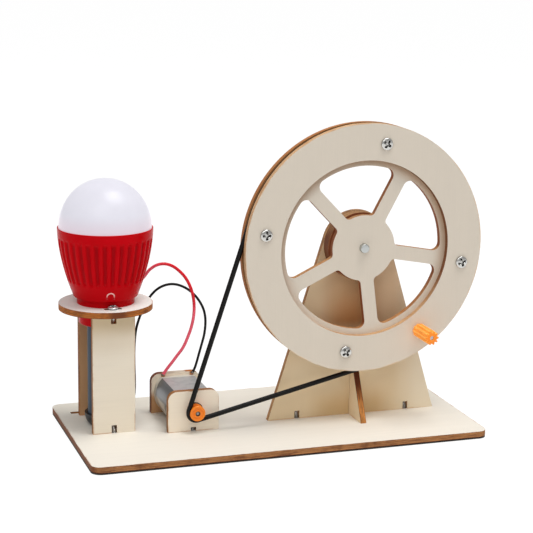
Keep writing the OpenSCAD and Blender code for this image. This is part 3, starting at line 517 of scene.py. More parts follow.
def fluted_red():
    """Glossy red, deeper in the flutes as painted shade: the same wave of the angle about the lamp's axis
    as in the housing, faded out above and below the fluted band. The lower belly is a little deeper
    too, as painted shade."""
    finish, tree, shader = start_finish("red_housing", 0.26, specular_ior_level=0.05)
    spot = put(tree, "TexCoord").outputs["Object"]
    place = split(tree, spot)
    angle = maths(tree, "ARCTAN2", maths(tree, "SUBTRACT", place[1], LAMP_AT[1]),
                  maths(tree, "SUBTRACT", place[0], LAMP_AT[0]))
    wave = maths(tree, "SINE", product(tree, angle, float(FLUTES)))
    soft = 3 * FLUTE_END
    band = product(tree, fade(tree, place[2], FLUTES_FROM, FLUTES_FROM + soft),
                   fade(tree, place[2], FLUTES_TO, FLUTES_TO - soft))
    # Painted shade in the flutes
    deep = product(tree, band, fade(tree, wave, -0.3, 0.9))
    red = clouded(tree, spot, rgb(200, 0, 11), rgb(208, 0, 15))
    tone = mix_colour(tree, product(tree, deep, 0.65), red, rgb(152, 0, 10))
    # Painted shade on the lower belly
    lower = fade(tree, place[2], FLUTES_FROM + 6 * MM, SHOULDER_Z)
    tone = mix_colour(tree, lower, tone, rgb(194, 0, 12))
    tree.links.new(tone, shader.inputs["Base Color"])
    moulded_skin(tree, shader, spot, 0.02)
    return finish


def pulley_orange():
    """Glossy orange; a thin ring around the shaft is dark, dirty and with painted shade, told by the
    distance from the shaft's middle line."""
    finish, tree, shader = start_finish("orange_pulley", 0.34, specular_ior_level=0.4)
    spot = put(tree, "TexCoord").outputs["Object"]
    orange = clouded(tree, spot, rgb(250, 134, 26), rgb(255, 144, 34))
    # A dark ring around the shaft: dirty and with painted shade
    dirt_and_shade = fade(tree, off_line(tree, spot, MOTOR_AT), DIRT_AND_SHADE_OUTER, DIRT_AND_SHADE_FULL)
    tree.links.new(mix_colour(tree, dirt_and_shade, orange, DIRT_AND_SHADE), shader.inputs["Base Color"])
    moulded_skin(tree, shader, spot)
    return finish


def grip_yellow():
    """Yellow-orange plastic that lets light through, painted as a faint glow of its own; its front end
    is deeper in colour as painted shade, told by the surface's direction."""
    # The emission is a painted glow
    finish, tree, shader = start_finish("yellow_grip", 0.42, specular_ior_level=0.35,
                                        emission_color=(*rgb(255, 128, 16), 1.0), emission_strength=0.22)
    coords = put(tree, "TexCoord")
    spot = coords.outputs["Object"]
    yellow = clouded(tree, spot, rgb(249, 179, 84), rgb(255, 189, 92))
    # Painted shade on the front end
    front = fade(tree, split(tree, coords.outputs["Normal"])[1], -0.6, -0.95)
    tree.links.new(mix_colour(tree, front, yellow, rgb(246, 142, 40)), shader.inputs["Base Color"])
    moulded_skin(tree, shader, spot)
    return finish


def red_insulation():
    """Soft red insulation: deep red over the crown of its loop, and a painted pink sheen along the
    lower run and near the housing."""
    finish, tree, shader = start_finish("red_insulation", 0.36, specular_ior_level=0.4)
    spot = put(tree, "TexCoord").outputs["Object"]
    place = split(tree, spot)
    crown = product(tree, fade(tree, place[2], 52 * MM, 61 * MM), fade(tree, place[0], -53 * MM, -46 * MM))
    # Painted pink sheen away from the crown
    painted_sheen = clouded(tree, spot, rgb(246, 90, 112), rgb(255, 104, 128))
    tree.links.new(mix_colour(tree, crown, painted_sheen, rgb(234, 16, 40)), shader.inputs["Base Color"])
    moulded_skin(tree, shader, spot)
    return finish


def arch_gloss():
    """A painted highlight, pale over the bow of the small arch on the housing, red again at its feet."""
    finish, tree, shader = start_finish("arch_gloss", 0.22, specular_ior_level=0.5)
    spot = put(tree, "TexCoord").outputs["Object"]
    height = maths(tree, "MULTIPLY_ADD", noise(tree, spot, 900.0, 2.0), 0.8 * MM, split(tree, spot)[2])
    # Painted highlight over the bow
    painted_sheen = fade(tree, height, ARCH_Z - 0.4 * MM, ARCH_Z + 1.2 * MM)
    tone = mix_colour(tree, painted_sheen, rgb(196, 8, 22), rgb(255, 196, 190))
    tree.links.new(tone, shader.inputs["Base Color"])
    return finish


def milky():
    """A milky shell that scatters light within it, painted as a faint even glow of its own, bluish at
    the crown, with a painted pink reflection of the red rim near it; its base colour is greyer."""
    finish, tree, shader = start_finish("milky_dome", 0.29, specular_ior_level=0.3,
                                        emission_strength=0.58)
    spot = put(tree, "TexCoord").outputs["Object"]
    shell = clouded(tree, spot, rgb(226, 225, 234), rgb(230, 229, 238), scale=120.0)
    # Painted pink reflection of the red rim
    near_rim = fade(tree, split(tree, spot)[2], RIM_Z + 9 * MM, RIM_Z)
    shell = mix_colour(tree, near_rim, shell, rgb(228, 212, 222))
    # Painted glow
    tree.links.new(shell, shader.inputs["Emission Color"])
    tree.links.new(mix_colour(tree, 0.8, shell, rgb(138, 136, 144)), shader.inputs["Base Color"])
    return finish


def can_steel():
    """Rolled steel of the motor can, with painted light told by the upward part of the surface's
    direction: a painted highlight on the flats, painted shade on the upper round sides and a pale
    painted reflection below."""
    finish, tree, shader = start_finish("motor_steel", 0.3, metallic=0.9)
    coords = put(tree, "TexCoord")
    spot = coords.outputs["Object"]
    up = split(tree, coords.outputs["Normal"])[2]
    # Painted highlight, shade and reflection by direction
    sides = ramp(tree, maths(tree, "MULTIPLY_ADD", up, 0.5, 0.5),
                 [(0.0, rgb(214, 208, 196)), (0.44, rgb(206, 198, 184)), (0.52, TARNISH_AND_SHADE_GREY),
                  (0.94, rgb(136, 136, 137)), (0.975, rgb(225, 224, 222))])
    cloud = noise(tree, spot, TARNISH_SCALE, 4.0, 0.65)
    dull = product(tree, fade(tree, cloud, 0.40, 0.70), 0.22)
    tree.links.new(mix_colour(tree, dull, sides, TARNISH_AND_SHADE_GREY), shader.inputs["Base Color"])
    lines = drawn_out(tree, spot, "y", DRAWN_LINES, 3.0)
    duller = maths(tree, "MULTIPLY_ADD", fade(tree, up, 0.90, 0.97), 0.2, 0.22)
    gloss = maths(tree, "MULTIPLY_ADD", lines, GLOSS_SPREAD, duller)
    tree.links.new(gloss, shader.inputs["Roughness"])
    bump(tree, shader, lines, LINE_RELIEF)
    return finish


# Finishes by material slot, or by the piece that has one of its own
FINISHES = {
    "red_plastic": fluted_red(),
    "arch_gloss": arch_gloss(),
    "milky_plastic": milky(),
    "light_board": moulded("white_light_board", rgb(225, 226, 224), 0.5),
    "light_chip": moulded("light_chips", rgb(238, 206, 96), 0.3),
    "cell_wrap": moulded("blue_grey_sleeve", rgb(66, 78, 92), 0.5, specular_ior_level=0.12),
    "black_plastic": moulded("black_foot", rgb(28, 32, 38), 0.36),
    "cap_plastic": moulded("end_cap_plastic", rgb(226, 222, 208), 0.45),
    "orange_plastic": pulley_orange(),
    "yellow_plastic": grip_yellow(),
    "belt_rubber": moulded("belt_rubber", rgb(11, 11, 11), 0.40, specular_ior_level=0.22),
    "red_lead": red_insulation(),
    "black_lead": moulded("black_insulation", rgb(11, 11, 12), 0.40, specular_ior_level=0.25),
    "magnet": moulded("ferrite", rgb(14, 14, 15), 0.6, specular_ior_level=0.1),
    "carbon": moulded("carbon_brush", rgb(30, 30, 30), 0.6),
    "motor_steel": can_steel(),
    "shaft_steel": drawn_metal("shaft_steel", rgb(202, 205, 203), 0.32, "y"),
    "motor_shaft": drawn_metal("motor_shaft_steel", rgb(156, 154, 153), 0.34, "y", rim=MOTOR_AT),
    "crank_pin": drawn_metal("crank_pin_steel", rgb(196, 193, 196), 0.34, "y"),
    "screw_steel": drawn_metal("bright_steel", rgb(226, 227, 229), 0.22, "y", streak=0.05),
    "wheel_heads": drawn_metal("wheel_screw_steel", rgb(213, 212, 208), 0.22, "y", streak=0.05,
                               recess_shade=("y", -1, WHEEL_FRONT)),
    "plate_heads": drawn_metal("plate_screw_steel", rgb(226, 227, 229), 0.22, "z", streak=0.05,
                               recess_shade=("z", 1, PLATE_TOP), metallic=0.75),
    "sunk_screws": drawn_metal("sunk_screw_steel", rgb(180, 175, 168), 0.3, "z", streak=0.2,
                               tarnish=0.5, metallic=0.7),
    "solder": drawn_metal("dull_solder", rgb(150, 146, 140), 0.4, "z", streak=0.2, tarnish=0.4),
    "copper": drawn_metal("bare_copper", rgb(206, 142, 96), 0.3, "z"),
    "bush_brass": drawn_metal("turned_brass", rgb(208, 176, 108), 0.3, "y"),
}

for node, look in PLYWOOD.items():
    dress(frame["nodes"][node], plywood(node, **look))
for entry in frame["record"]["subparts"]:
    if entry["node"] not in PLYWOOD:
        slot_finish = FINISHES[entry["material_slot"]]
        dress(frame["nodes"][entry["node"]], FINISHES.get(entry["node"], slot_finish))

# Mesh helpers


def sheet_faces(rows, columns, ring=False):
    """Four-cornered faces of a grid whose columns close on themselves, and its rows too in a ring."""
    i, j = np.meshgrid(np.arange(rows if ring else rows - 1), np.arange(columns), indexing="ij")
    m, n = (i + 1) % rows, (j + 1) % columns
    corners = np.stack([i * columns + j, i * columns + n, m * columns + n, m * columns + j], -1)
    return corners.reshape(-1, 4).tolist()


def turned(profile, columns):
    """A profile of (radius, height) rows turned about Z: each row becomes a ring of points at the
    row's height, its radius times the cosine and sine of the column's angle."""
    angle = np.arange(columns) * 2 * np.pi / columns
    radius, height = np.asarray(profile, float).T
    return np.stack([radius[:, None] * np.cos(angle), radius[:, None] * np.sin(angle),
                     height[:, None] + 0 * angle], -1)


def forward(points):
    """Lays a shape that is turned about Z along -Y, so that its top looks to the front."""
    return np.stack([points[..., 0], -points[..., 2], points[..., 1]], -1)


def add_piece(name, sheets, finish, body, ring=False, sharp=40.0):
    """One mesh of closed sheets, each an array of rows, columns and three coordinates. The end
    rows are capped unless the rows form a ring. Edges sharper than an angle stay sharp."""
    points, faces, start = [], [], 0
    for sheet in sheets:
        rows, columns = sheet.shape[:2]
        grid = sheet_faces(rows, columns, ring)
        if not ring:
            grid += [list(range(columns))[::-1], list(range((rows - 1) * columns, rows * columns))]
        faces += [[start + corner for corner in face] for face in grid]
        points.append(sheet.reshape(-1, 3))
        start += rows * columns
    data = bpy.data.meshes.new(name)
    data.from_pydata(np.concatenate(points).tolist(), [], faces)
    data.polygons.foreach_set("use_smooth", np.ones(len(data.polygons), bool))
    data.set_sharp_from_angle(angle=math.radians(sharp))
    piece = bpy.data.objects.new(name, data)
    scene.collection.objects.link(piece)
    dress(piece, finish)
    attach(piece, body)
    return piece


def arc_rows(centre, radius, start, end, steps):
    """Rows of a profile along an arc about a centre, from one angle in degrees to another."""
    angle = np.radians(np.linspace(start, end, steps))
    return np.stack([centre[0] + radius * np.cos(angle), centre[1] + radius * np.sin(angle)], -1)


def smooth_step(value, start, end):
    """Rises smoothly from 0 where the value is start to 1 where it is end."""
    t = np.clip((value - start) / (end - start), 0, 1)
    return t * t * (3 - 2 * t)


# Bulb lamp

ON_LAMP_AXIS = (LAMP_AT[0], LAMP_AT[1], 0)
FLUTE_COLUMNS = 14


def belly_radius(height):
    """The belly narrows from the rim to the shoulder with a power of the depth below the rim."""
    return RIM_R - (RIM_R - SHOULDER_R) * ((RIM_Z - height) / (RIM_Z - SHOULDER_Z)) ** BELLY


def fluted_housing():
    """The red housing: a profile from the cell's socket over neck, collar, shoulder and belly to the
    rounded lip and down to the dome's seat, turned about the lamp's axis. On the belly a soft
    square wave of the angle, faded out at both ends, cuts the flutes. On the collar the radius
    stays short of the circle of each screw head."""
    columns = FLUTES * FLUTE_COLUMNS
    bend = SHOULDER_Z + SHOULDER_ROUND
    heights = np.linspace(bend + SHOULDER_ROUND, RIM_Z - LIP / 2, 56)
    head_top = PLATE_TOP + PAN_HEAD_H
    profile = np.concatenate([
        [(SOCKET_R, NECK_Z + SOCKET_DEPTH), (SOCKET_R, NECK_Z)],
        arc_rows((NECK_R - NECK_ROUND, NECK_Z + NECK_ROUND), NECK_ROUND, -90, 0, 5),
        [(NECK_R, PLATE_TOP), (COLLAR_R, PLATE_TOP), (COLLAR_R, PLATE_TOP + COLLAR_ROW),
         (COLLAR_R, head_top), (COLLAR_R, head_top + OVER_HEAD),
         (COLLAR_R, SHOULDER_Z - COLLAR_EDGE), (COLLAR_R + COLLAR_EDGE, SHOULDER_Z)],
        arc_rows((belly_radius(bend) - SHOULDER_ROUND, bend), SHOULDER_ROUND, -90, 0, 6),
        np.stack([belly_radius(heights), heights], -1),
        arc_rows((RIM_R - LIP / 2, RIM_Z - LIP / 2), LIP / 2, 0, 180, 8),
        [(RIM_R - LIP, DOME_Z)]])
    points = turned(profile, columns)
    angle = np.arange(columns) * 2 * np.pi / columns
    radius, height = profile.T
    swing = np.cos(FLUTES * angle - np.pi / 2)
    wave = 0.5 + 0.5 * np.tanh(FLUTE_SQUARENESS * swing) / np.tanh(FLUTE_SQUARENESS)
    inside = (smooth_step(height, FLUTES_FROM, FLUTES_FROM + FLUTE_END)
              * smooth_step(-height, -FLUTES_TO, FLUTE_END - FLUTES_TO))
    cut = 1 - inside[:, None] * wave * FLUTE_DEPTH / radius[:, None]
    reach = PAN_HEAD_R + BESIDE_HEAD
    aside = np.minimum(PLATE_SCREW_OUT * np.abs(np.cos(angle)), reach)
    near = PLATE_SCREW_OUT * np.abs(np.sin(angle)) - np.sqrt(reach ** 2 - aside ** 2)
    at_head = (height >= PLATE_TOP) & (height <= head_top) & (radius > NECK_R)
    held = np.where((aside < reach) & at_head[:, None], np.minimum(1, near / radius[:, None]), 1)
    points[..., :2] *= (cut * held)[..., None]
    made = add_piece("fluted_housing", [points + ON_LAMP_AXIS], FINISHES["red_plastic"], "base",
                     sharp=50)
    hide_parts("lamp_housing")


def milky_dome():
    """The dome: a short straight skirt, then a quarter of an ellipse up to the crown, turned about
    the lamp's axis."""
    rise = np.radians(np.linspace(0, 89.4, 44))
    crown = np.stack([DOME_R * np.cos(rise), RIM_Z + (DOME_TOP - RIM_Z) * np.sin(rise)], -1)
    points = turned(np.concatenate([[(DOME_R, DOME_Z)], crown]), columns=128) + ON_LAMP_AXIS
    made = add_piece("milky_dome", [points], FINISHES["milky_plastic"], "base")
    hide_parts("lamp_dome")


def housing_arch():
    """A small raised arch low on the housing's front: a round bead carried along a leg, a half
    circle and the other leg, wrapped on the belly by turning its width into an angle."""
    bow = np.radians(np.linspace(0, 180, 25))
    leg = np.linspace(-ARCH_LEG, 0, 5)[:-1]
    across = np.concatenate([ARCH_R + 0 * leg, ARCH_R * np.cos(bow), -ARCH_R + 0 * leg])
    up = np.concatenate([leg, ARCH_R * np.sin(bow), leg[::-1]])
    heading = np.stack([np.gradient(across), np.gradient(up)], -1)
    heading /= np.linalg.norm(heading, axis=1)[:, None]
    turn = np.arange(12) * 2 * np.pi / 12
    side, lift = ARCH_WIRE * np.cos(turn), ARCH_WIRE * np.sin(turn)
    width = across[:, None] - heading[:, 1:] * side
    height = ARCH_Z + up[:, None] + heading[:, :1] * side
    radius = belly_radius(height) + lift
    angle = ARCH_ANGLE + width / belly_radius(height)
    points = np.stack([radius * np.cos(angle), radius * np.sin(angle), height], -1) + ON_LAMP_AXIS
    add_piece("housing_arch", [points], FINISHES["arch_gloss"], "base")


CELL_R, FOOT_WALL, FOOT_FLOOR, FOOT_BASE = 9.1 * MM, 0.3 * MM, 2.0 * MM, 7.4 * MM


def rounded_foot():
    """The cell's foot: a bowl whose radius follows a quarter of an ellipse from its base up to its
    rim, with a round seat for the cell, turned about the lamp's axis."""
    low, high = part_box("cell_foot")
    rim, tall = half_size("cell_foot", 0), high[2] - low[2]
    rise = np.linspace(0, 1, 16)
    bowl_r = FOOT_BASE + (rim - FOOT_BASE) * np.sqrt(1 - (1 - rise) ** 2)
    bowl = np.stack([bowl_r, low[2] + tall * rise], -1)
    seat = [(CELL_R + FOOT_WALL, high[2]), (CELL_R + FOOT_WALL, low[2] + FOOT_FLOOR)]
    points = turned(np.concatenate([bowl, seat]), columns=96) + ON_LAMP_AXIS
    made = add_piece("rounded_foot", [points], FINISHES["black_plastic"], "base")
    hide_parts("cell_foot")


fluted_housing()
milky_dome()
housing_arch()
rounded_foot()

# Screws

SHANK_R, TIP_LEN, TIP_R = 1.2 * MM, 1.6 * MM, 0.3 * MM
THREAD_ROOT, THREAD_PITCH, THREAD_ROWS = 0.86 * MM, 0.85 * MM, 11
RIDGE_SLOPE, RIDGE_FOOT = 2.4, 0.1
CROSS_FLOOR, CROSS_BRIM, CROSS_DEPTH = 0.35 * MM, 0.625 * MM, 1.15 * MM
PAN_RIM, PAN_CROWN, PAN_CROSS, SUNK_CROSS = 0.42, 0.96, 0.74, 0.6
PAN_FOOT, PAN_FOOT_H = 0.97, 0.08 * MM
SCREW_COLUMNS, SCREW_SHARP = 48, 55
END_RING = 0.02 * MM


def threaded(points, shank):
    """Cuts a thread into the shank's rows: a triangle wave of the height in pitches less the turn,
    between the thread's root and the row's own radius."""
    turn = np.arange(SCREW_COLUMNS) / SCREW_COLUMNS
    phase = (points[..., 2] / THREAD_PITCH - turn) % 1
    ridge = np.clip(RIDGE_SLOPE * (0.5 - np.abs(phase - 0.5)) - RIDGE_FOOT, 0, 1)
    root = THREAD_ROOT / SHANK_R
    keep = np.where(shank[:, None], root + (1 - root) * ridge, 1)
    points[..., :2] *= keep[..., None]


def cross_cut(points, rows, reach, sink):
    """Sinks the head's rows where a point is near one of two crossed lines and within their reach,
    with sloping sides; sink is the direction along the screw."""
    x, y = np.abs(points[rows, :, 0]), np.abs(points[rows, :, 1])
    near = 1 - smooth_step(np.minimum(x, y), CROSS_FLOOR, CROSS_BRIM)
    within = 1 - smooth_step(np.hypot(x, y), reach * 0.8, reach)
    points[rows, :, 2] += sink * CROSS_DEPTH * near * within


def shank_rows(start, end):
    """Rows of a straight shank, some to each pitch of the thread."""
    heights = np.linspace(start, end, int(abs(end - start) / THREAD_PITCH * THREAD_ROWS) + 2)
    return np.stack([SHANK_R + 0 * heights, heights], -1)


def pan_screw(length, head_r):
    """A pan head screw from its tip up to a domed head with a crossed recess: tip cone, threaded
    shank, flat underside, short upright rim, then a flat arc to the crown."""
    shank = np.concatenate([[(TIP_R, -length)], shank_rows(TIP_LEN - length, 0)])
    out = np.sin(np.radians(np.linspace(90, 1, 26)))
    rim = PAN_HEAD_H * PAN_RIM
    crown = np.stack([head_r * out, rim + (PAN_HEAD_H - rim) * np.sqrt(1 - PAN_CROWN * out ** 2)], -1)
    underside = [(head_r * PAN_FOOT, 0), (head_r, PAN_FOOT_H)]
    points = turned(np.concatenate([shank, underside, crown]), SCREW_COLUMNS)
    threaded(points, np.arange(len(points)) < len(shank))
    cross_cut(points, slice(-len(crown), None), head_r * PAN_CROSS, -1)
    return points


def sunk_screw(length, head_r, head_h):
    """A sunk screw that points up: flat face with a crossed recess below, cone, threaded shank, tip."""
    face = np.stack([np.linspace(END_RING, head_r, 18), np.zeros(18)], -1)
    shank = np.concatenate([shank_rows(head_h, length - TIP_LEN), [(TIP_R, length)]])
    points = turned(np.concatenate([face, shank]), SCREW_COLUMNS)
    threaded(points, np.arange(len(points)) >= len(face))
    cross_cut(points, slice(0, len(face)), head_r * SUNK_CROSS, 1)
    return points


WHEEL_SCREWS, SCREW_CIRCLE_R, WHEEL_TURN = 4, 52.6 * MM, math.radians(-10.2)
FIRST_SPIN, NEXT_SPIN = math.radians(20), math.radians(35)
WHEEL_HEAD_R, SUNK_HEAD_R, SUNK_HEAD_H = 3.0 * MM, 2.4 * MM, 1.4 * MM
SLOT_TOP, MOTOR_SLOT_TOP, STAND_SCREW_OUT = 6.9 * MM, 4.9 * MM, 29.6 * MM
# Each plate with its screws' offsets from its middle and the top of its slots
HELD_PLATES = [("column_front", (0.0,), SLOT_TOP), ("column_back", (0.0,), SLOT_TOP),
               ("motor_front_plate", (0.0,), MOTOR_SLOT_TOP), ("motor_back_plate", (0.0,), MOTOR_SLOT_TOP),
               ("stand_plate", (-STAND_SCREW_OUT, STAND_SCREW_OUT), SLOT_TOP)]


def plate_screws():
    """One pan head screw in front of the lamp and one behind, down through the round plate."""
    length = PLATE_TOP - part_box("plate_screws")[0][2]
    places = [(LAMP_AT[0], LAMP_AT[1] + side * PLATE_SCREW_OUT, PLATE_TOP) for side in (-1, 1)]
    made = add_piece("plate_pan_screws", [pan_screw(length, PAN_HEAD_R) + at for at in places],
                     FINISHES["plate_heads"], "base", sharp=SCREW_SHARP)
    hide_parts("plate_screws")


def wheel_screws():
    """Pan head screws on a circle about the wheel's axle, each turned a little from the last."""
    screw = forward(pan_screw(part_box("wheel_screws")[1][1] - WHEEL_FRONT, WHEEL_HEAD_R))
    around = WHEEL_TURN + np.arange(WHEEL_SCREWS) * 2 * np.pi / WHEEL_SCREWS
    spin = FIRST_SPIN + NEXT_SPIN * np.arange(WHEEL_SCREWS)
    sheets = []
    for a, s in zip(around, spin):
        at = (WHEEL_AT[0] + SCREW_CIRCLE_R * math.cos(a), WHEEL_FRONT,
              WHEEL_AT[2] + SCREW_CIRCLE_R * math.sin(a))
        sheets.append(np.stack([screw[..., 0] * math.cos(s) - screw[..., 2] * math.sin(s), screw[..., 1],
                                screw[..., 0] * math.sin(s) + screw[..., 2] * math.cos(s)], -1) + at)
    made = add_piece("wheel_pan_screws", sheets, FINISHES["wheel_heads"], "wheel",
                     sharp=SCREW_SHARP)
    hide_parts("wheel_screws")


def board_screws():
    """Sunk screws from under the board up into the slot of each plate that they hold."""
    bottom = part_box("board_screws")[0][2]
    sheets = []
    for node, offsets, slot_top in HELD_PLATES:
        x, y, _ = middle(node)
        screw = sunk_screw(slot_top - bottom, SUNK_HEAD_R, SUNK_HEAD_H)
        sheets += [screw + (x + offset, y, bottom) for offset in offsets]
    made = add_piece("board_sunk_screws", sheets, FINISHES["sunk_screws"], "base",
                     sharp=SCREW_SHARP)
    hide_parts("board_screws")


plate_screws()
wheel_screws()
board_screws()

# Crank handle, pulley and axle

GRIP_R, TOOTH_DEPTH, TEETH, TOOTH_COLUMNS = 3.6 * MM, 0.9 * MM, 10, 24
TOOTH_FOOT, TOOTH_TOP = -0.65, 0.8
GRIP_BORE, GRIP_END, GRIP_END_R = 1.05 * MM, 1.2 * MM, 3.375 * MM
GRIP_EDGE, GRIP_STEP = 0.25 * MM, 0.25 * MM
PULLEY_BORE, PULLEY_R, PULLEY_ROOT, PULLEY_EDGE = 1.02 * MM, 3.85 * MM, 2.55 * MM, 0.3 * MM
PULLEY_GROOVE_W, GROOVE_EASE, GROOVE_ROUND = 3.0 * MM, 0.3 * MM, 0.2 * MM
DISH_IN, DISH_OUT, DISH_DEPTH, DISH_SLOPE = 1.7 * MM, 2.9 * MM, 0.35 * MM, 0.15 * MM
AXLE_FRONT_ROUND, AXLE_BACK_ROUND = 0.5 * MM, 0.2 * MM


def toothed_grip():
    """The grip: around the bore, over the back face, along the plain round end and the teeth, and
    over the front face. Along the teeth the radius is the root plus a softened wave of the angle,
    at the plain end it fills to a circle, and the end rows are drawn in to round the edges."""
    half = half_size("crank_handle", 1)
    columns = TEETH * TOOTH_COLUMNS
    angle = np.arange(columns) * 2 * np.pi / columns
    tooth = smooth_step(np.cos(TEETH * angle), TOOTH_FOOT, TOOTH_TOP)
    outer = GRIP_R - TOOTH_DEPTH + TOOTH_DEPTH * tooth
    bend = np.radians(np.linspace(90, 0, 5))
    inset = GRIP_EDGE * (1 - np.cos(bend))
    ends = half - GRIP_EDGE * (1 - np.sin(bend))
    bore, plain = np.full_like(angle, GRIP_BORE), np.maximum(outer, GRIP_END_R)
    radius = np.stack([bore, *(plain - d for d in inset), plain, (plain + outer) / 2, outer,
                       *(outer - d for d in inset[::-1]), bore])
    step = GRIP_END - half + np.array([-1, 0, 1]) * GRIP_STEP
    height = np.array([-half, *(-ends), *step, *ends[::-1], half])
    points = np.stack([radius * np.cos(angle), radius * np.sin(angle), height[:, None] + 0 * angle], -1)
    made = add_piece("toothed_grip", [forward(points) + CRANK_AT], FINISHES["yellow_plastic"], "handle",
                     ring=True)
    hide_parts("crank_handle")


def grooved_pulley():
    """The pulley: a profile around the bore, a dished back and front face, rounded flange edges and
    the belt's groove between them, turned about the motor's shaft."""
    half, groove_half = half_size("pulley", 1), PULLEY_GROOVE_W / 2
    front = [(PULLEY_BORE, half), (DISH_IN, half), (DISH_IN + DISH_SLOPE, half - DISH_DEPTH),
             (DISH_OUT - DISH_SLOPE, half - DISH_DEPTH), (DISH_OUT, half)]
    flange = arc_rows((PULLEY_R - PULLEY_EDGE, half - PULLEY_EDGE), PULLEY_EDGE, 90, 0, 6)
    groove = [(PULLEY_R, groove_half + GROOVE_EASE), (PULLEY_ROOT + GROOVE_ROUND, groove_half),
              (PULLEY_ROOT, groove_half - GROOVE_EASE)]
    upper = np.concatenate([front, flange, groove])
    profile = np.concatenate([upper * (1, -1), upper[::-1]])
    points = forward(turned(profile, columns=72)) + MOTOR_AT
    made = add_piece("grooved_pulley", [points], FINISHES["orange_plastic"], "rotor",
                     ring=True)
    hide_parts("pulley")


def rounded_axle():
    """The axle: a bar along Y with a rounded edge at its front end and a small one at its back."""
    bar, half = half_size("axle", 0), half_size("axle", 1)
    front, back = AXLE_FRONT_ROUND, AXLE_BACK_ROUND
    profile = np.concatenate([
        [(END_RING, -half)], arc_rows((bar - back, back - half), back, -90, 0, 5),
        arc_rows((bar - front, half - front), front, 0, 90, 7), [(END_RING, half)]])
    points = forward(turned(profile, columns=64)) + middle("axle")
    made = add_piece("rounded_axle", [points], FINISHES["shaft_steel"], "wheel")
    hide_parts("axle")


toothed_grip()
grooved_pulley()
rounded_axle()

# Lead wires, along the same routes as in the model

RED_ROUTE = np.array([
    [-48, 21.4, 23.2], [-46, 21.5, 25.9], [-43.2, 21.7, 29.2], [-40.5, 21.9, 32.5], [-37.3, 22, 36.6],
    [-34.9, 22.3, 41.5], [-33, 22.5, 46.5], [-31.7, 22.8, 52], [-31.3, 23.2, 57.5],
    [-31.8, 23.6, 62.5], [-33.2, 24, 67.5], [-35.5, 24.5, 72], [-38.5, 25, 75.5],
    [-42, 25.5, 78.2], [-46, 26, 79.5], [-50, 27, 78.8], [-53.3, 28, 76.4], [-55.8, 28.8, 73],
    [-58.3, 28.9, 70.4], [-61.5, 28, 69.1], [-64.8, 26.2, 68.8], [-67.8, 24.1, 68.8]]) * MM
BLACK_ROUTE = np.array([
    [-32.6, 21.4, 23.2], [-31.3, 21.5, 25.4], [-30.2, 21.7, 28.5], [-29, 21.9, 32.6], [-27.5, 22.2, 37.5],
    [-26.2, 22.5, 42], [-25.5, 22.8, 46.5], [-25.4, 23.2, 51], [-26.2, 23.6, 55.2],
    [-27.9, 24.2, 59], [-30.3, 25, 62.4], [-33.5, 26, 65.4], [-37.3, 27, 67.5], [-41.2, 28.2, 68.3],
    [-45, 29.5, 67.6], [-48.3, 31, 65.6], [-51, 32.3, 62.6], [-53.3, 33, 59], [-55.5, 32.7, 55],
    [-57.7, 31.6, 50.8], [-59.7, 29.8, 46], [-61, 27.8, 40.5], [-61.8, 25.8, 34.5],
    [-62.2, 24, 28], [-62.4, 22.4, 21.5], [-62.9, 21, 15.5], [-64.2, 19.9, 10.5],
    [-66.4, 18.9, 7.4], [-69.4, 17.7, 6.2]]) * MM
RED_THICK, BLACK_THICK = 1.6 * MM, 1.3 * MM
SOLDER_R, SOLDER_HALF_H = 0.85 * MM, 0.7 * MM
SOLDER_BULGES, SOLDER_UNEVEN, SOLDER_TWIST = 3, 0.10, 900


def lead(name, route, diameter, slot, node):
    """A round wire on one open spline through its route."""
    data = bpy.data.curves.new(name, "CURVE")
    data.dimensions = "3D"
    data.bevel_depth = diameter / 2
    data.bevel_resolution = 5
    data.resolution_u = 6
    data.use_fill_caps = True
    line = data.splines.new("BEZIER")
    line.bezier_points.add(len(route) - 1)
    slopes = np.gradient(route, axis=0) / 3
    for point, at, slope in zip(line.bezier_points, route, slopes):
        point.co = at
        point.handle_left = at - slope
        point.handle_right = at + slope
    piece = bpy.data.objects.new(name, data)
    scene.collection.objects.link(piece)
    dress(piece, FINISHES[slot])
    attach(piece, "base")
    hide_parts(node)


def solder_joint(name, at):
    """A drop of solder at a terminal: an upright ellipsoid whose radius waves a little with the angle."""
    rise = np.radians(np.linspace(-85, 85, 18))
    points = turned(np.stack([SOLDER_R * np.cos(rise), SOLDER_HALF_H * np.sin(rise)], -1), columns=28)
    angle = np.arctan2(points[..., 1], points[..., 0])
    wave = 1 + SOLDER_UNEVEN * np.sin(SOLDER_BULGES * angle + SOLDER_TWIST * points[..., 2])
    points[..., :2] *= wave[..., None]
    add_piece(name, [points + at], FINISHES["solder"], "base")


lead("red_lead", RED_ROUTE, RED_THICK, "red_lead", "red_wire")
lead("black_lead", BLACK_ROUTE, BLACK_THICK, "black_lead", "black_wire")
solder_joint("red_solder", RED_ROUTE[0])
solder_joint("black_solder", BLACK_ROUTE[0])

# Stage and light

WHITE = (1.0, 1.0, 1.0, 1.0)
FLOOR_Z, FLOOR_HALF, BOARD_CORNER = -0.7 * MM, 6.0, 5.0 * MM
FLOOR_PALE, FLOOR_GLOW, FLOOR_GLOW_SHARE = (0.86, 0.86, 0.86, 1.0), 1.15, 0.8
FILL_STRENGTH, SEEN_STRENGTH = 0.42, 1.0


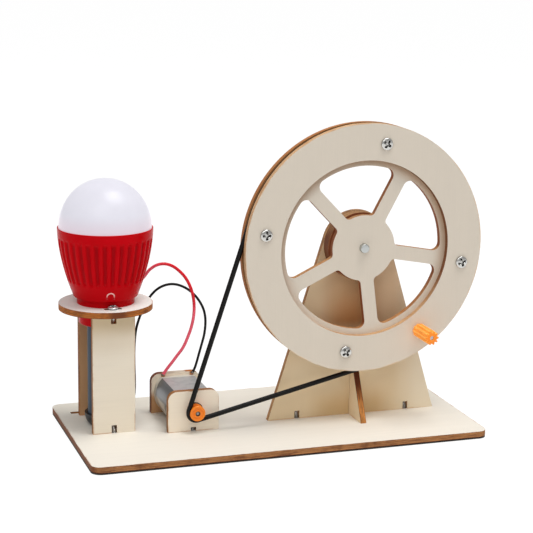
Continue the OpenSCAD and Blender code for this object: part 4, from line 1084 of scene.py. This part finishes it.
def stage_floor():
    """A wide pale floor: white to the camera and to gloss, with the object's soft shadow kept. Within
    the board's rounded outline the glow is left out, so the floor under the board is dark: a painted
    contact shadow over the real shadow there."""
    corners = [(-1, -1), (1, -1), (1, 1), (-1, 1)]
    data = bpy.data.meshes.new("floor")
    data.from_pydata([(x * FLOOR_HALF, y * FLOOR_HALF, FLOOR_Z) for x, y in corners], [], [(0, 1, 2, 3)])
    floor = bpy.data.objects.new("floor", data)
    scene.collection.objects.link(floor)
    finish, tree, shader = start_finish("pale_floor", 0.9, specular_ior_level=0.0)
    shader.inputs["Base Color"].default_value = FLOOR_PALE
    path = put(tree, "LightPath").outputs
    seen = maths(tree, "ADD", path["Is Camera Ray"], path["Is Glossy Ray"], clamp=True)
    place = split(tree, put(tree, "TexCoord").outputs["Object"])
    beyond = []
    for k in (0, 1):
        straight = half_size("base_board", k) - BOARD_CORNER
        offset = maths(tree, "SUBTRACT", maths(tree, "ABSOLUTE", place[k]), straight)
        beyond.append(maths(tree, "MAXIMUM", offset))
    # Painted contact shadow: no glow under the board
    in_open = maths(tree, "GREATER_THAN", span(tree, beyond), BOARD_CORNER)
    glow = put(tree, "Emission", {"Color": WHITE, "Strength": product(tree, in_open, FLOOR_GLOW)})
    mixed = put(tree, "MixShader", {0: product(tree, seen, FLOOR_GLOW_SHARE), 1: shader.outputs[0],
                                    2: glow.outputs[0]})
    tree.links.new(mixed.outputs[0], tree.nodes["Material Output"].inputs["Surface"])
    dress(floor, finish)


def softbox(name, at, aim, size, watts):
    """A square soft lamp at a place, turned to look at its aim."""
    data = bpy.data.lights.new(name, "AREA")
    data.shape = "SQUARE"
    data.size = size
    data.energy = watts
    lamp = bpy.data.objects.new(name, data)
    back = np.array(at, float) - np.array(aim, float)
    back /= np.linalg.norm(back)
    side = np.cross([0.0, 1.0, 0.0], back)
    side /= np.linalg.norm(side)
    lamp.matrix_world = aimed(side, np.cross(back, side), back, at)
    scene.collection.objects.link(lamp)


def studio_light():
    """A white surround as fill, one large soft box overhead, and a wide weak one at the front left."""
    world = bpy.data.worlds.new("studio")
    scene.world = world
    world.use_nodes = True
    tree = world.node_tree
    fill = tree.nodes["Background"]
    fill.inputs["Color"].default_value = WHITE
    fill.inputs["Strength"].default_value = FILL_STRENGTH
    bright = put(tree, "Background", {"Color": WHITE, "Strength": SEEN_STRENGTH})
    seen = put(tree, "LightPath").outputs["Is Camera Ray"]
    mixed = put(tree, "MixShader", {0: seen, 1: fill.outputs[0], 2: bright.outputs[0]})
    tree.links.new(mixed.outputs[0], tree.nodes["World Output"].inputs["Surface"])
    softbox("overhead_box", at=(0.22, -0.16, 1.15), aim=(0.0, 0.0, 0.08), size=0.6, watts=7.4)
    softbox("front_left_box", at=(-0.7, -1.1, 1.35), aim=(0.0, 0.0, 0.06), size=1.0, watts=6.0)


stage_floor()
studio_light()
scene.view_settings.view_transform = "Standard"
